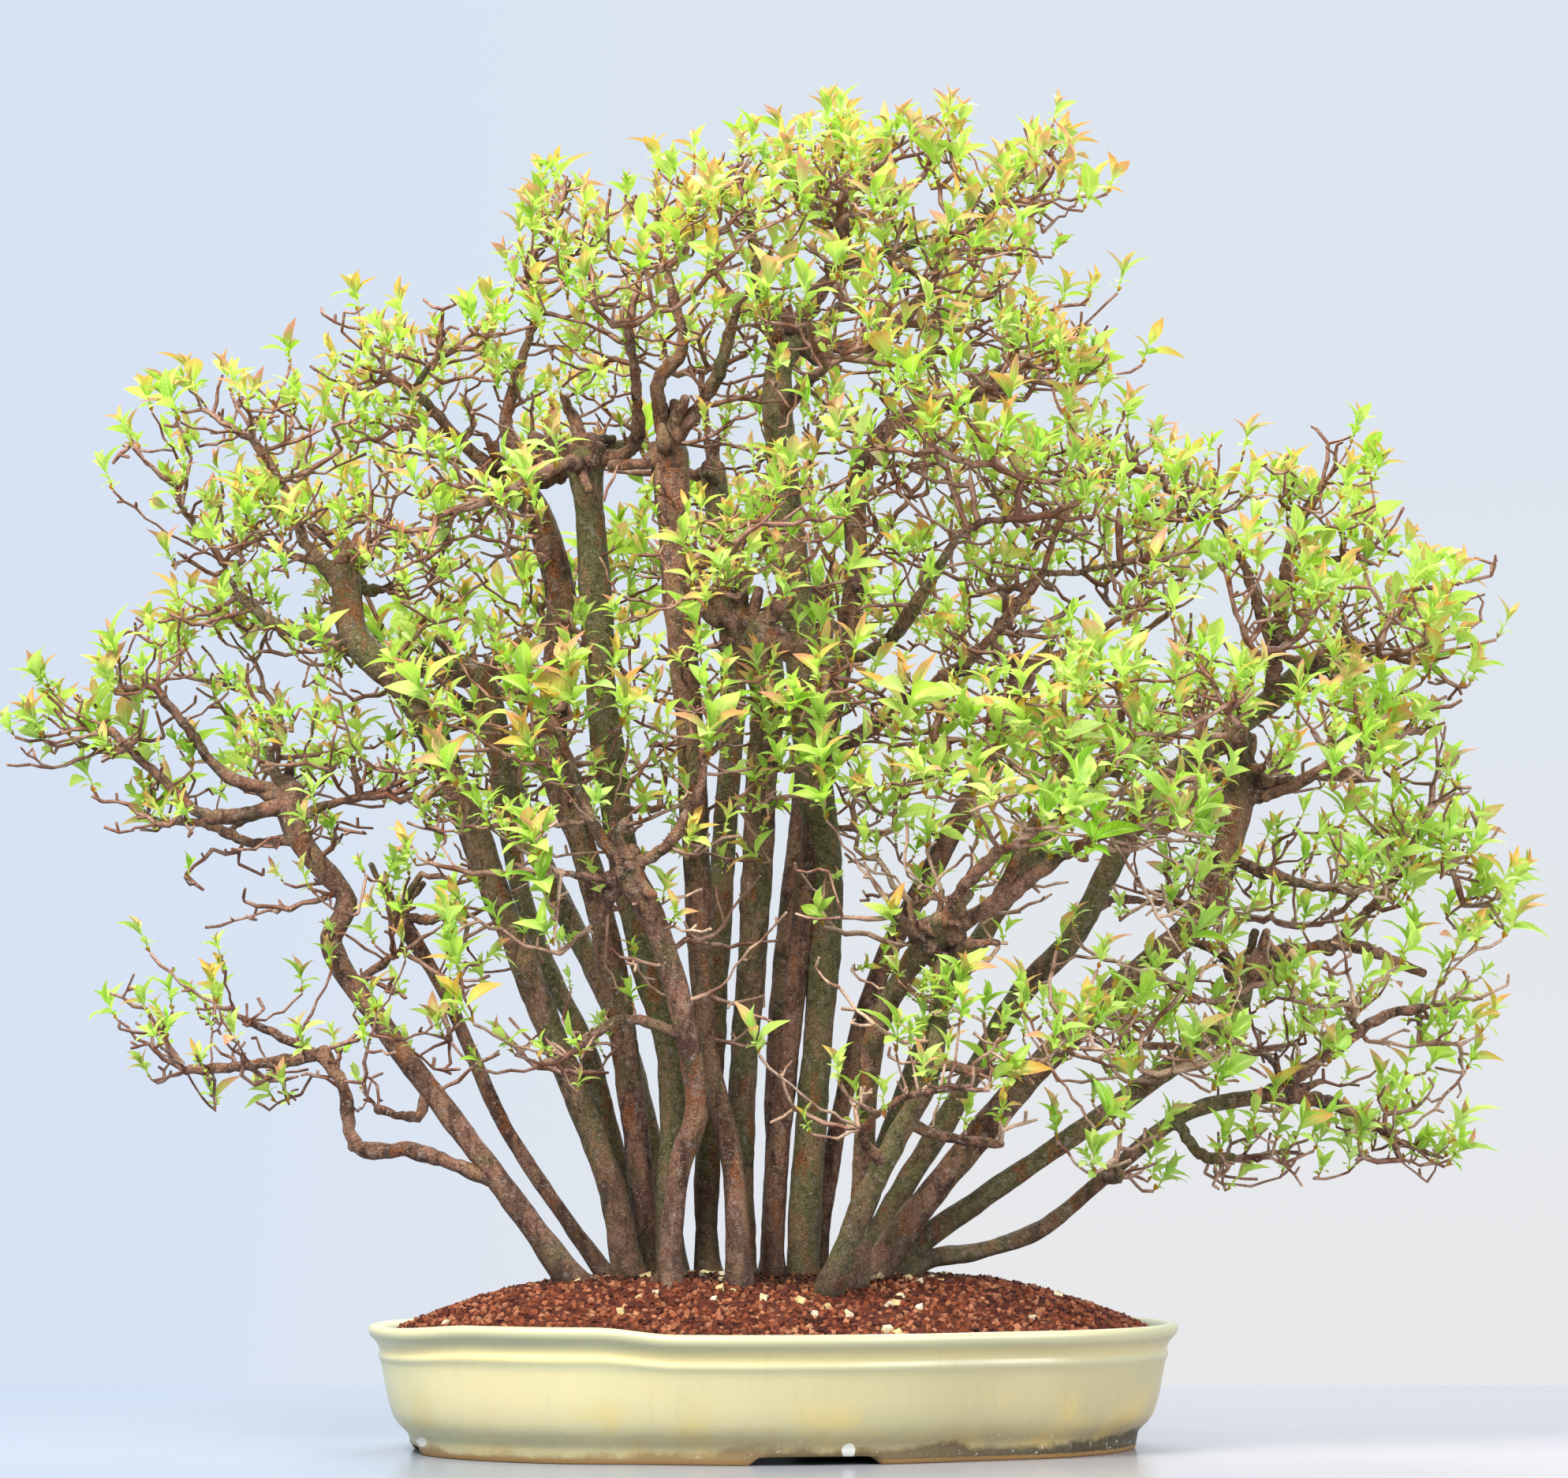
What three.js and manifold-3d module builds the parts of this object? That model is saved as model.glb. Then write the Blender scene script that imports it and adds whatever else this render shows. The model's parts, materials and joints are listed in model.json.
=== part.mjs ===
// A Chinese quince bonsai grown in the clump style, with the shallow glazed oval pot that it stands in.
// Millimetres, +Z up. The origin lies on the table under the middle of the pot, +X runs along the pot's
// long side, and the front of the pot faces -Y. The pot and its soil are solids of revolution drawn out
// to a four-lobed oval. The wood is one body: many trunks from one root crown, with their boughs.
// Each leafy spray is a body of its own: a twig with its shoots and their young leaves.
import * as THREE from "three";
import { mergeVertices } from "three/addons/utils/BufferGeometryUtils.js";
import Module from "manifold-3d";

const wasm = await Module();
wasm.setup();

// Driving dimensions of the pot
const POT_LENGTH = 540;
const POT_WIDTH = 390;
const POT_HEIGHT = 83;
const POT_FACETS = 40;
const LOBE_ANGLES = [63, 117, 243, 297];
const LOBE_NOTCH = 5.5;
const LOBE_NOTCH_WIDTH = 9;
const OVAL_POWER = 0.93; // 1 is a true ellipse, and less is squarer
const FOOT_GATE_LONG = 83;
const FOOT_GATE_SHORT = 60;
const FOOT_GATE_HEIGHT = 5.5;
const DRAIN_RADIUS = 11;
const DRAIN_FACETS = 8;
const DRAIN_SPACING = 230;
// Inset from the rim's outline and height above the table, from the foot up to the lip.
const POT_OUTSIDE = [
  [29, 0], [27, 13], [15.5, 25.5], [9.5, 56], [7, 59.5], [7.4, 66], [0.6, 74.5], [0, 79], [3.5, POT_HEIGHT],
];
// The same from the lip down the inside, and under the foot.
const POT_INSIDE = [[12, 82], [17.5, 56], [25, 28], [37, 18]];
const POT_UNDERSIDE = [[42, 9], [40, 0]];

// Driving dimensions of the soil
const SEAT_GAP = 0.4;
const SOIL_EDGE_HEIGHT = 77;
// The mound over the soil's edge: the share of the way out to the wall, and the height there.
// It is level inside the last of these, where the trunks stand.
const MOUND = [[0.8, 97.5], [0.57, 113]];

// Driving dimensions of the wood
const TREE_TURN = -9; // degrees, from the pot's front to the tree's front
const CROWN_CENTRE = [-14, -8];
const CROWN_HALF = [146, 90];
const CROWN_LEVELS = [[0.78, 76], [1, 92], [1, 111], [0.86, 116]]; // a share of its width, and the height
const CROWN_SIDES = 14;
const TRUNK_SIDES = 6;
const BRANCH_SIDES = 4;
const BOUGH_SIDES = 3;
const BRANCH_TO_CLUMP = 40; // a branch that ends this near a clump carries its spray
const BUD_FROM_SEAT = 14; // no bough starts nearer than this to a spray's seat
const BUD_SPACING = 8;
const BUD_BELOW = 12; // a bough rather starts at least this far below its clump
const BUD_RISE_COST = 1.5; // for each millimetre that it doesn't
const CUT_END = { reach: 0.7, radius: 0.55 }; // shares of the trunk's last radius
const BOUGH_LEAST = 12;
const BOUGH_BASE = { share: 0.7, most: 4.2 }; // of the wood it grows from, and its largest radius
const BOUGH_TIP_RADIUS = 2.4;
const BOUGH_CROOK = 0.22; // of its length
const BOUGH_END = 0.35; // of the clump's half-extents, short of its centre and below it

// Driving dimensions of the leafy sprays
const SEED = 20260;
const TWIG_GAP = 0.35;
const TWIG_CLEARANCE = 0.45;
const TWIG_SIDES = 3;
const TWIG_RADIUS = 1.9;
const SHOOT_RADIUS = 0.9;
const LEAF_LENGTH = [21, 29];
const LEAF_ASPECT = 0.36;
const LEAF_OUTLINE = [[0.36, 0.5], [0.72, 0.33]]; // share of the length, and of the width to one side
const LEAF_KEEL = 0.5; // share of the length
const LEAF_THICKNESS = 1.4;
const LEAF_ARCH = 0.14; // of its length
const LEAF_ROOM = 1; // kept free round a leaf, past half its width
const LEAF_FOOT = 2; // the first stretch of a leaf, which may pass close by other twigs
const LEAF_LEAN = [0.55, 1.05]; // radians from the shoot's own direction
const LEAF_TRIES = 6;
const TUFT_LEAVES = [2, 2]; // on the first and the second shoot of each clump
const TREE_HEART = 512; // the height that shoots point away from
const SHOOT_MARGIN = { side: 12, top: 24, foot: 6 }; // between a shoot's end and its clump's border
const SHOOT_RISE = [-0.2, 0.6];
const SHOOT_TURN = [1.9, 4.3]; // radians from the first shoot to the one beside it
const SHOOT_TRIES = 24;
const SHOOT_STRAY = 3;
const TWIG_STUB = 9;
const TWIG_TRIES = 80;
const TWIG_STRAY = 1.4;
const TWIG_SAG = 0.2; // of the clump's half-height, below its centre

// The trunks: x, depth, height and radius at points along each, seen from the tree's front,
// where a negative depth is nearer the eye. Each starts in the root crown.
const TRUNKS = {
  farLeft: [
    [-100, -24, 92, 11.5], [-131, -30, 110, 10.5], [-165, -32, 154, 9.3], [-202, -32, 203, 8.6],
    [-256, -24, 274, 8], [-296, -14, 334, 7.4], [-286, -10, 363, 7], [-316, -5, 400, 7.4],
    [-329, 2, 436, 9],
  ],
  leftSlim: [
    [-95, 6, 92, 7.5], [-115, 10, 117, 6.8], [-149, 12, 164, 6], [-182, 14, 214, 5.6],
    [-217, 12, 292, 4.8], [-231, 8, 319, 4.6], [-252, 4, 352, 6],
  ],
  leftThick: [
    [-86, -16, 90, 13.5], [-97, -20, 117, 12], [-110, -22, 178, 10.8], [-139, -24, 252, 10.2],
    [-179, -26, 351, 9.6], [-212, -28, 437, 9], [-243, -28, 500, 8.8], [-280, -26, 537, 8.6],
    [-288, -24, 582, 9],
  ],
  leftBehind: [
    [-80, 14, 92, 9], [-92, 22, 132, 8], [-127, 30, 264, 7.2], [-162, 38, 337, 6.8],
    [-183, 44, 425, 6.6], [-190, 46, 492, 6.6], [-200, 44, 520, 8],
  ],
  leftTall: [
    [-74, 0, 90, 12.5], [-83, 4, 126, 11], [-94, 8, 214, 10.2], [-108, 12, 313, 9.8],
    [-130, 16, 402, 9.4], [-150, 20, 467, 9.2], [-145, 22, 562, 9], [-158, 18, 620, 8.6],
    [-178, 14, 652, 8],
  ],
  midTall: [
    [-60, -12, 90, 12.5], [-70, -10, 123, 11], [-69, -6, 252, 10], [-91, -4, 337, 9.6],
    [-109, -4, 439, 9.4], [-118, -6, 525, 9.4], [-125, -8, 626, 9.6], [-128, -10, 660, 13],
  ],
  frontLeft: [
    [-56, -42, 92, 10.5], [-68, -58, 114, 9.4], [-62, -64, 187, 8.6], [-51, -72, 222, 8.6],
    [-58, -86, 274, 8.4], [-76, -104, 340, 8], [-97, -122, 380, 10.5],
  ],
  frontCrossing: [
    [-22, -40, 92, 10.5], [-23, -54, 114, 9.2], [-29, -52, 194, 8.2], [-45, -44, 262, 8.2],
    [-50, -38, 349, 8.4], [-56, -36, 462, 8.6], [-65, -40, 572, 8.8], [-71, -44, 660, 12],
  ],
  backMiddle: [
    [-38, 18, 90, 11.5], [-46, 24, 126, 10], [-41, 42, 282, 8.8], [-35, 62, 405, 8],
    [-29, 84, 504, 7.4], [-34, 112, 592, 7], [-44, 130, 672, 8],
  ],
  midKnuckle: [
    [-14, 0, 90, 12.5], [-22, 0, 123, 11], [-22, -6, 232, 10], [-14, -26, 348, 9.8],
    [-9, -58, 439, 9.4], [-5, -80, 497, 9.6], [-14, -90, 532, 14],
  ],
  midSlim: [
    [4, -4, 90, 9.5], [-1, -6, 129, 8.4], [5, -10, 217, 7.6], [18, -14, 342, 7.4],
    [33, -16, 462, 7.2], [53, -16, 573, 7], [57, -14, 652, 6.4], [84, -12, 687, 5.6],
    [134, -12, 705, 5],
  ],
  apex: [
    [22, 2, 90, 14], [19, -2, 129, 12.6], [25, -8, 226, 11.8], [34, -12, 365, 11.2],
    [24, -14, 462, 10.8], [12, -16, 582, 10.2], [4, -14, 667, 9.4], [2, -12, 720, 8.6],
    [10, -12, 742, 10],
  ],
  backRight: [
    [28, 32, 92, 9.5], [30, 44, 137, 8.2], [44, 52, 219, 7.6], [70, 62, 314, 7.4],
    [112, 72, 397, 7.2], [152, 78, 472, 7], [172, 82, 526, 8],
  ],
  frontRight: [
    [46, -34, 92, 10.5], [54, -48, 114, 9.4], [58, -62, 192, 8.6], [64, -84, 267, 8.2],
    [85, -112, 314, 8], [107, -132, 339, 11],
  ],
  frontMost: [
    [30, -44, 92, 11.5], [38, -66, 112, 10.2], [58, -86, 165, 9.4], [76, -98, 200, 8.6],
    [99, -116, 246, 7.4], [109, -128, 322, 6.6],
  ],
  rightThick: [
    [58, -10, 90, 13.5], [74, -16, 129, 12.2], [110, -22, 176, 11.2], [168, -26, 245, 10.4],
    [221, -28, 298, 10], [284, -26, 354, 9.6], [302, -22, 400, 9], [312, -18, 446, 11.5],
  ],
  backFarRight: [
    [52, 24, 92, 11], [70, 40, 142, 9.6], [127, 54, 235, 8.8], [168, 64, 303, 8.4],
    [204, 72, 342, 8], [258, 84, 437, 7.6], [327, 92, 494, 7.2], [371, 94, 531, 7.2],
  ],
  farRight: [
    [68, 2, 90, 10.5], [96, -2, 134, 9], [136, -6, 164, 8.4], [212, -10, 216, 8],
    [282, -12, 267, 7.8], [308, -12, 294, 7.4], [312, -12, 317, 8.4],
  ],
  lowRight: [
    [68, -6, 93, 9], [98, -2, 123, 7.6], [136, 0, 130, 6.8], [178, 2, 145, 6.4],
    [220, 2, 179, 6.2], [276, 0, 222, 6], [336, -4, 235, 6.6],
  ],
  rearLeft: [
    [-62, 30, 92, 9.5], [-70, 46, 142, 8.4], [-104, 84, 272, 7.6], [-160, 126, 392, 7],
    [-206, 160, 502, 7.6],
  ],
  rearMiddle: [
    [-4, 34, 92, 9.5], [-2, 52, 142, 8.6], [4, 100, 302, 7.8], [20, 146, 442, 7.2],
    [34, 176, 572, 7.6],
  ],
  rearRight: [
    [38, 30, 92, 9], [56, 52, 142, 8], [104, 104, 272, 7.2], [168, 148, 382, 6.8],
    [226, 172, 462, 7.4],
  ],
};

// The named branches, in the same way. Each starts inside the trunk or branch that it grows from.
const BRANCHES = {
  lowLeftReach: [
    [-181, -32, 176, 5.6], [-239, -36, 197, 4.9], [-276, -34, 200, 4.8], [-286, -30, 238, 4.6],
    [-300, -28, 262, 6],
  ],
  lowLeftTip: [[-300, -28, 260, 4.6], [-342, -26, 254, 3.6], [-392, -16, 250, 3]],
  lowLeftRise: [[-298, -28, 258, 4.4], [-327, -34, 272, 3.4], [-352, -30, 284, 2.8]],
  lowLeftSpur: [[-231, -26, 238, 4], [-236, -34, 220, 3.2], [-262, -44, 224, 2.6]],
  farLeftReach: [[-326, -2, 428, 5.6], [-378, -6, 420, 4.6], [-412, -6, 446, 3.8], [-446, -4, 478, 3]],
  farLeftRise: [[-330, 0, 438, 5], [-366, -10, 446, 4], [-396, -16, 482, 3.2], [-410, -18, 500, 2.8]],
  farLeftUnder: [[-318, -2, 406, 4.6], [-352, 16, 404, 3.8], [-384, 30, 416, 3]],
  stumpLeft: [[-279, -26, 534, 5.6], [-330, 10, 547, 4.4], [-364, 26, 572, 3.4]],
  stumpUp: [[-288, -24, 574, 6], [-312, -32, 598, 4.6], [-330, -36, 642, 3.6], [-346, -36, 666, 3]],
  behindLeft: [[-199, 44, 514, 5], [-240, 50, 524, 4], [-306, 58, 540, 3.2]],
  tallLeft: [[-176, 14, 647, 5.6], [-206, -4, 668, 4.6], [-236, -30, 698, 3.8], [-262, -34, 716, 3]],
  knuckleLeft: [
    [-128, -10, 660, 7], [-168, -14, 662, 5.6], [-182, -14, 682, 4.4], [-176, -14, 708, 3.8],
    [-160, -14, 762, 3],
  ],
  knuckleRight: [[-128, -10, 660, 6], [-96, -22, 666, 4.6], [-92, -60, 698, 3.8], [-96, -96, 732, 3]],
  knuckleFront: [[-128, -12, 656, 6], [-140, -50, 652, 4.4], [-178, -96, 626, 3.2]],
  crossingUp: [[-71, -44, 660, 7], [-78, -44, 708, 5], [-62, -42, 732, 4.2], [-74, -40, 788, 3.2]],
  crossingRight: [[-70, -46, 664, 5.6], [-40, -72, 704, 4.2], [-24, -96, 754, 3.2]],
  apexRight: [[10, -12, 740, 6.4], [66, -20, 738, 5.2], [90, -26, 758, 4.4], [104, -44, 774, 3.4]],
  apexUp: [[8, -12, 740, 7], [26, -12, 770, 5.6], [44, -10, 798, 4.4], [46, -4, 846, 3.2]],
  apexLeft: [[4, -12, 736, 5.6], [-10, -20, 776, 4.2], [-16, -28, 822, 3.2]],
  apexFarRight: [[42, -10, 792, 4.4], [92, -8, 808, 3.8], [130, -10, 818, 3.2], [150, -8, 838, 2.8]],
  apexBack: [[10, -10, 740, 6], [30, 34, 758, 4.6], [46, 74, 780, 3.4]],
  apexFront: [[4, -14, 692, 5.6], [18, -66, 700, 4.4], [32, -118, 706, 3.2]],
  midRightReach: [
    [36, -14, 456, 6.4], [78, -26, 490, 5.4], [112, -50, 508, 4.6], [140, -66, 532, 4],
    [176, -78, 576, 3.2],
  ],
  crossingBough: [[30, -14, 516, 5.4], [75, -50, 534, 4.6], [98, -84, 564, 4], [120, -112, 598, 3.2]],
  rightKnuckleUp: [[312, -18, 446, 6], [306, -48, 484, 4.6], [316, -68, 516, 3.4]],
  rightKnuckleIn: [[310, -20, 438, 5.6], [286, -76, 450, 4.4], [276, -118, 466, 3.2]],
  rightKnuckleOut: [[308, -20, 428, 5.4], [344, -44, 438, 4.2], [360, -58, 448, 3.2]],
  rightShoulder: [[300, -22, 392, 5], [342, -30, 376, 4], [372, -38, 370, 3]],
  cutEndUp: [[343, 92, 506, 5.6], [346, 60, 552, 5], [354, 30, 615, 4.2], [372, 14, 648, 3.2]],
  cutEndFork: [[344, 72, 536, 4.4], [322, 44, 592, 3.6], [300, 24, 628, 3]],
  cutEndRight: [[368, 92, 528, 5], [392, 50, 544, 4.2], [402, 12, 532, 3.4]],
  farRightLevel: [
    [310, -12, 314, 6], [334, -14, 327, 5.4], [383, -16, 333, 4.6], [433, -10, 315, 3.4],
  ],
  farRightRise: [[370, -15, 331, 4.4], [399, -14, 360, 3.8], [423, -10, 388, 3]],
  lowRightRise: [
    [332, -4, 235, 5.6], [370, -14, 262, 4.6], [403, -14, 285, 3.8], [432, -12, 292, 3],
  ],
  lowRightLevel: [[336, -4, 235, 5.2], [373, -8, 228, 4.2], [400, -8, 214, 3.4], [412, -4, 206, 3]],
  lowRightUnder: [[268, 0, 216, 4.6], [284, -10, 194, 3.8], [304, -16, 192, 3]],
  frontRightReach: [
    [107, -132, 338, 6.4], [140, -146, 354, 5.4], [180, -156, 384, 4.4], [212, -164, 400, 3.2],
  ],
  frontRightRise: [[107, -132, 339, 6], [120, -160, 364, 4.6], [142, -184, 388, 3.4]],
  frontRightHigh: [[140, -146, 353, 4.6], [164, -164, 404, 3.8], [184, -176, 440, 3]],
  frontRightLow: [[100, -118, 254, 4], [144, -128, 248, 3.6], [186, -132, 264, 3]],
  frontMostRight: [[84, -104, 216, 4], [112, -104, 206, 3.6], [146, -108, 202, 3]],
  frontMostLeft: [[70, -96, 190, 3.8], [56, -116, 206, 3.2], [62, -140, 218, 2.6]],
  frontLeftUp: [
    [-97, -122, 380, 5.6], [-116, -122, 404, 4.4], [-130, -116, 440, 3.4], [-142, -112, 472, 2.8],
  ],
  frontLeftRight: [[-94, -120, 380, 5], [-69, -132, 394, 4], [-48, -142, 432, 3.2], [-46, -146, 454, 2.8]],
  frontLeftLow: [[-58, -86, 272, 4.2], [-100, -94, 282, 3.4], [-136, -98, 258, 2.6]],
  knuckleReach: [[-14, -90, 532, 7], [-40, -106, 544, 5.6], [-52, -122, 558, 4]],
  knuckleTurn: [[-12, -90, 532, 6], [14, -116, 520, 4.6], [30, -130, 506, 3.4]],
};

// The leafy sprays. Each line is one spray, and each entry in it is a clump of foliage that the spray
// carries: its centre as x, depth and height, then its half-extents, seen from the tree's front.
const SPRAYS = [
  [[-345, -40, 290, 56, 60, 38], [-418, -5, 298, 38, 48, 44]],
  [[-412, -25, 527, 46, 55, 46], [-472, 0, 492, 42, 45, 42]],
  [[-395, 40, 440, 54, 60, 34]],
  [[-385, 30, 626, 52, 60, 40], [-432, 0, 672, 36, 45, 34]],
  [[-332, -50, 608, 52, 60, 40], [-352, 60, 558, 54, 60, 34]],
  [[-352, -35, 696, 62, 58, 42]],
  [[-222, -70, 740, 48, 58, 42], [-282, -30, 744, 36, 50, 46]],
  [[-200, -20, 698, 54, 60, 36]],
  [[-150, -15, 792, 48, 58, 46], [-141, 0, 847, 30, 40, 34]],
  [[-86, -45, 820, 52, 60, 46], [-17, -35, 860, 52, 60, 44]],
  [[-97, -120, 757, 52, 60, 36], [-17, -115, 789, 52, 60, 40]],
  [[40, -75, 830, 58, 62, 40], [42, 15, 885, 46, 52, 34]],
  [[114, -70, 794, 52, 62, 40], [106, -15, 876, 52, 58, 40]],
  [[166, -10, 828, 46, 58, 40], [184, 10, 876, 36, 42, 42]],
  [[38, -150, 732, 54, 60, 40]],
  [[152, -85, 714, 56, 62, 40], [206, -15, 744, 38, 50, 40]],
  [[168, -130, 624, 58, 62, 38], [94, -155, 666, 58, 62, 40]],
  [[222, -45, 666, 50, 60, 38], [284, 10, 650, 50, 60, 38]],
  [[247, -90, 598, 54, 62, 40]],
  [[402, 15, 614, 46, 56, 34], [378, 5, 666, 34, 44, 42]],
  [[406, -30, 541, 54, 62, 42], [463, 0, 576, 42, 48, 40]],
  [[326, -85, 546, 58, 64, 44]],
  [[369, -80, 466, 54, 62, 42], [442, -20, 492, 44, 54, 38]],
  [[274, -150, 492, 58, 66, 44], [194, -195, 466, 58, 66, 46]],
  [[458, -5, 412, 42, 58, 46], [482, 0, 358, 32, 44, 38]],
  [[388, -45, 382, 54, 62, 42]],
  [[247, -180, 412, 54, 62, 42], [157, -215, 408, 54, 62, 46]],
  [[378, -60, 306, 58, 62, 34]],
  [[462, -15, 308, 40, 52, 38], [458, 0, 246, 32, 42, 34]],
  [[326, -25, 210, 50, 58, 36]],
  [[430, 0, 204, 40, 46, 32]],
  [[346, -45, 264, 44, 54, 32]],
  [[222, -90, 204, 38, 48, 34], [163, -120, 214, 36, 44, 30]],
  [[262, -110, 262, 44, 54, 32], [196, -150, 282, 44, 52, 36]],
  [[130, -185, 254, 42, 50, 34], [67, -160, 232, 28, 32, 28]],
  [[36, -135, 492, 44, 56, 38], [26, -120, 440, 42, 52, 36]],
  [[-150, -105, 492, 50, 62, 36], [-223, -65, 504, 46, 58, 36]],
  [[-270, -20, 452, 46, 58, 42], [-213, -70, 428, 34, 44, 36]],
  [[-150, -140, 394, 38, 50, 46]],
  [[-46, -150, 478, 42, 50, 34]],
  [[-54, -135, 566, 54, 62, 40], [8, -165, 598, 54, 60, 44]],
  [[-192, -125, 630, 48, 58, 36], [-266, -75, 590, 42, 56, 34]],
  [[-243, -40, 344, 38, 46, 32], [-202, -60, 314, 28, 32, 28]],
  [[-150, -100, 260, 34, 36, 28]],
  [[-330, 140, 462, 56, 62, 40], [-390, 100, 532, 48, 56, 40]],
  [[-250, 190, 552, 58, 62, 42], [-290, 140, 642, 56, 60, 42]],
  [[-150, 205, 592, 58, 62, 42], [-130, 150, 702, 56, 60, 42]],
  [[-45, 190, 632, 58, 62, 42], [-60, 100, 762, 54, 58, 42]],
  [[55, 220, 592, 58, 60, 42], [60, 165, 712, 58, 60, 42]],
  [[60, 90, 807, 54, 56, 40], [135, 110, 772, 54, 58, 42]],
  [[165, 185, 552, 58, 62, 42], [170, 150, 662, 58, 60, 42]],
  [[262, 180, 492, 58, 62, 42], [262, 120, 592, 56, 60, 42]],
  [[345, 130, 462, 56, 60, 42], [390, 100, 552, 50, 58, 42]],
  [[300, 165, 382, 56, 60, 40], [395, 90, 382, 52, 58, 42]],
  [[-185, 185, 452, 56, 60, 40]],
  [[60, 205, 442, 56, 60, 40]],
  [[330, 70, 282, 52, 56, 36], [235, 110, 282, 50, 54, 36]],
];

const radians = THREE.MathUtils.degToRad;
const lerp = THREE.MathUtils.lerp;
const clamp = THREE.MathUtils.clamp;
const UP = new THREE.Vector3(0, 0, 1);

// A random number source that gives the same numbers on each run.
function seeded(seed) {
  let state = seed;
  return () => {
    state = (state + 0x6d2b79f5) | 0;
    let t = Math.imul(state ^ (state >>> 15), 1 | state);
    t = (t + Math.imul(t ^ (t >>> 7), 61 | t)) ^ t;
    return ((t ^ (t >>> 14)) >>> 0) / 4294967296;
  };
}

// A random shift of up to half the given size each way.
function stray(random, size) {
  return new THREE.Vector3(random() - 0.5, random() - 0.5, random() - 0.5).multiplyScalar(size);
}

// A point given from the tree's front, turned into the pot's frame.
function place(x, depth, height) {
  return new THREE.Vector3(x, depth, height).applyAxisAngle(UP, radians(TREE_TURN));
}

// Solids

function solidOf(points, triangles) {
  const vertProperties = new Float32Array(points.flatMap((p) => [p.x, p.y, p.z]));
  const triVerts = new Uint32Array(triangles);
  return new wasm.Manifold(new wasm.Mesh({ numProp: 3, vertProperties, triVerts }));
}

function solidOfGeometry(geometry) {
  geometry.deleteAttribute("normal");
  geometry.deleteAttribute("uv");
  const merged = mergeVertices(geometry, 1e-4);
  return new wasm.Manifold(
    new wasm.Mesh({
      numProp: 3,
      vertProperties: merged.attributes.position.array,
      triVerts: new Uint32Array(merged.index.array),
    }),
  );
}

// The largest body of a solid, without loose scraps and with any sealed hollow filled.
function mainBody(solid) {
  const bodies = solid.decompose();
  return bodies.reduce((best, body) => (body.volume() > best.volume() ? body : best));
}

function joined(solids) {
  return solids.reduce((sum, solid) => sum.add(solid));
}

// The triangles between neighbouring rings of equal count, the rings following each other in one list.
function ringBands(ringTotal, count) {
  const triangles = [];
  for (let r = 0; r < ringTotal - 1; r++) {
    for (let i = 0; i < count; i++) {
      const j = (i + 1) % count;
      const [a, b, c, d] = [r * count + i, r * count + j, (r + 1) * count + j, (r + 1) * count + i];
      triangles.push(a, b, c, a, c, d);
    }
  }
  return triangles;
}

// A flat end over the ring that starts at the given point: a fan from that point.
function flatEnd(first, count, facesBack) {
  const triangles = [];
  for (let i = 1; i < count - 1; i++) {
    triangles.push(first, ...(facesBack ? [first + i + 1, first + i] : [first + i, first + i + 1]));
  }
  return triangles;
}

// A closed skin over rings of equal count, flat at both ends.
function skin(rings) {
  const count = rings[0].length;
  const triangles = ringBands(rings.length, count);
  triangles.push(...flatEnd(0, count, true), ...flatEnd((rings.length - 1) * count, count, false));
  return solidOf(rings.flat(), triangles);
}

// The sections of a tapered stem through stations of { at, radius }. They turn with the path, untwisted.
function stemRings(stations, sides) {
  const along = stations.map((s, i) => {
    const before = stations[Math.max(i - 1, 0)].at;
    const after = stations[Math.min(i + 1, stations.length - 1)].at;
    return after.clone().sub(before).normalize();
  });
  const across = new THREE.Vector3(1, 0.2, 0.1);
  return stations.map((s, i) => {
    across.addScaledVector(along[i], -across.dot(along[i])).normalize();
    const side = along[i].clone().cross(across);
    return Array.from({ length: sides }, (_, k) => {
      const angle = (2 * Math.PI * k) / sides;
      return s.at
        .clone()
        .addScaledVector(across, s.radius * Math.cos(angle))
        .addScaledVector(side, s.radius * Math.sin(angle));
    });
  });
}

function stem(stations, sides) {
  return skin(stemRings(stations, sides));
}

// The pot and its soil

// The pot's outline at one height: an oval with four shallow notches between its lobes.
function potOutline(inset, height, scale = 1) {
  return Array.from({ length: POT_FACETS }, (_, k) => {
    const degrees = (360 * k) / POT_FACETS;
    const notch = LOBE_ANGLES.reduce((sum, lobe) => {
      const away = (degrees - lobe) / LOBE_NOTCH_WIDTH;
      return sum + LOBE_NOTCH * Math.exp(-away * away);
    }, 0);
    const [c, s] = [Math.cos(radians(degrees)), Math.sin(radians(degrees))];
    const x = (POT_LENGTH / 2 - inset - notch) * Math.sign(c) * Math.abs(c) ** OVAL_POWER;
    const y = (POT_WIDTH / 2 - inset - notch) * Math.sign(s) * Math.abs(s) ** OVAL_POWER;
    return new THREE.Vector3(x * scale, y * scale, height);
  });
}

function potSolid() {
  const profile = [...POT_UNDERSIDE, ...POT_OUTSIDE, ...POT_INSIDE];
  const rings = profile.map(([inset, height]) => potOutline(inset, height));
  const shell = skin(rings);
  const gateAcross = new THREE.BoxGeometry(FOOT_GATE_LONG, POT_WIDTH, 2 * FOOT_GATE_HEIGHT);
  const gateAlong = new THREE.BoxGeometry(POT_LENGTH, FOOT_GATE_SHORT, 2 * FOOT_GATE_HEIGHT);
  const drains = [-1, 1].map((side) => {
    const drain = new THREE.CylinderGeometry(DRAIN_RADIUS, DRAIN_RADIUS, POT_HEIGHT, DRAIN_FACETS);
    drain.rotateX(Math.PI / 2).translate((side * DRAIN_SPACING) / 2, 0, 0);
    return solidOfGeometry(drain);
  });
  return shell.subtract(joined([solidOfGeometry(gateAcross), solidOfGeometry(gateAlong), ...drains]));
}

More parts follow.
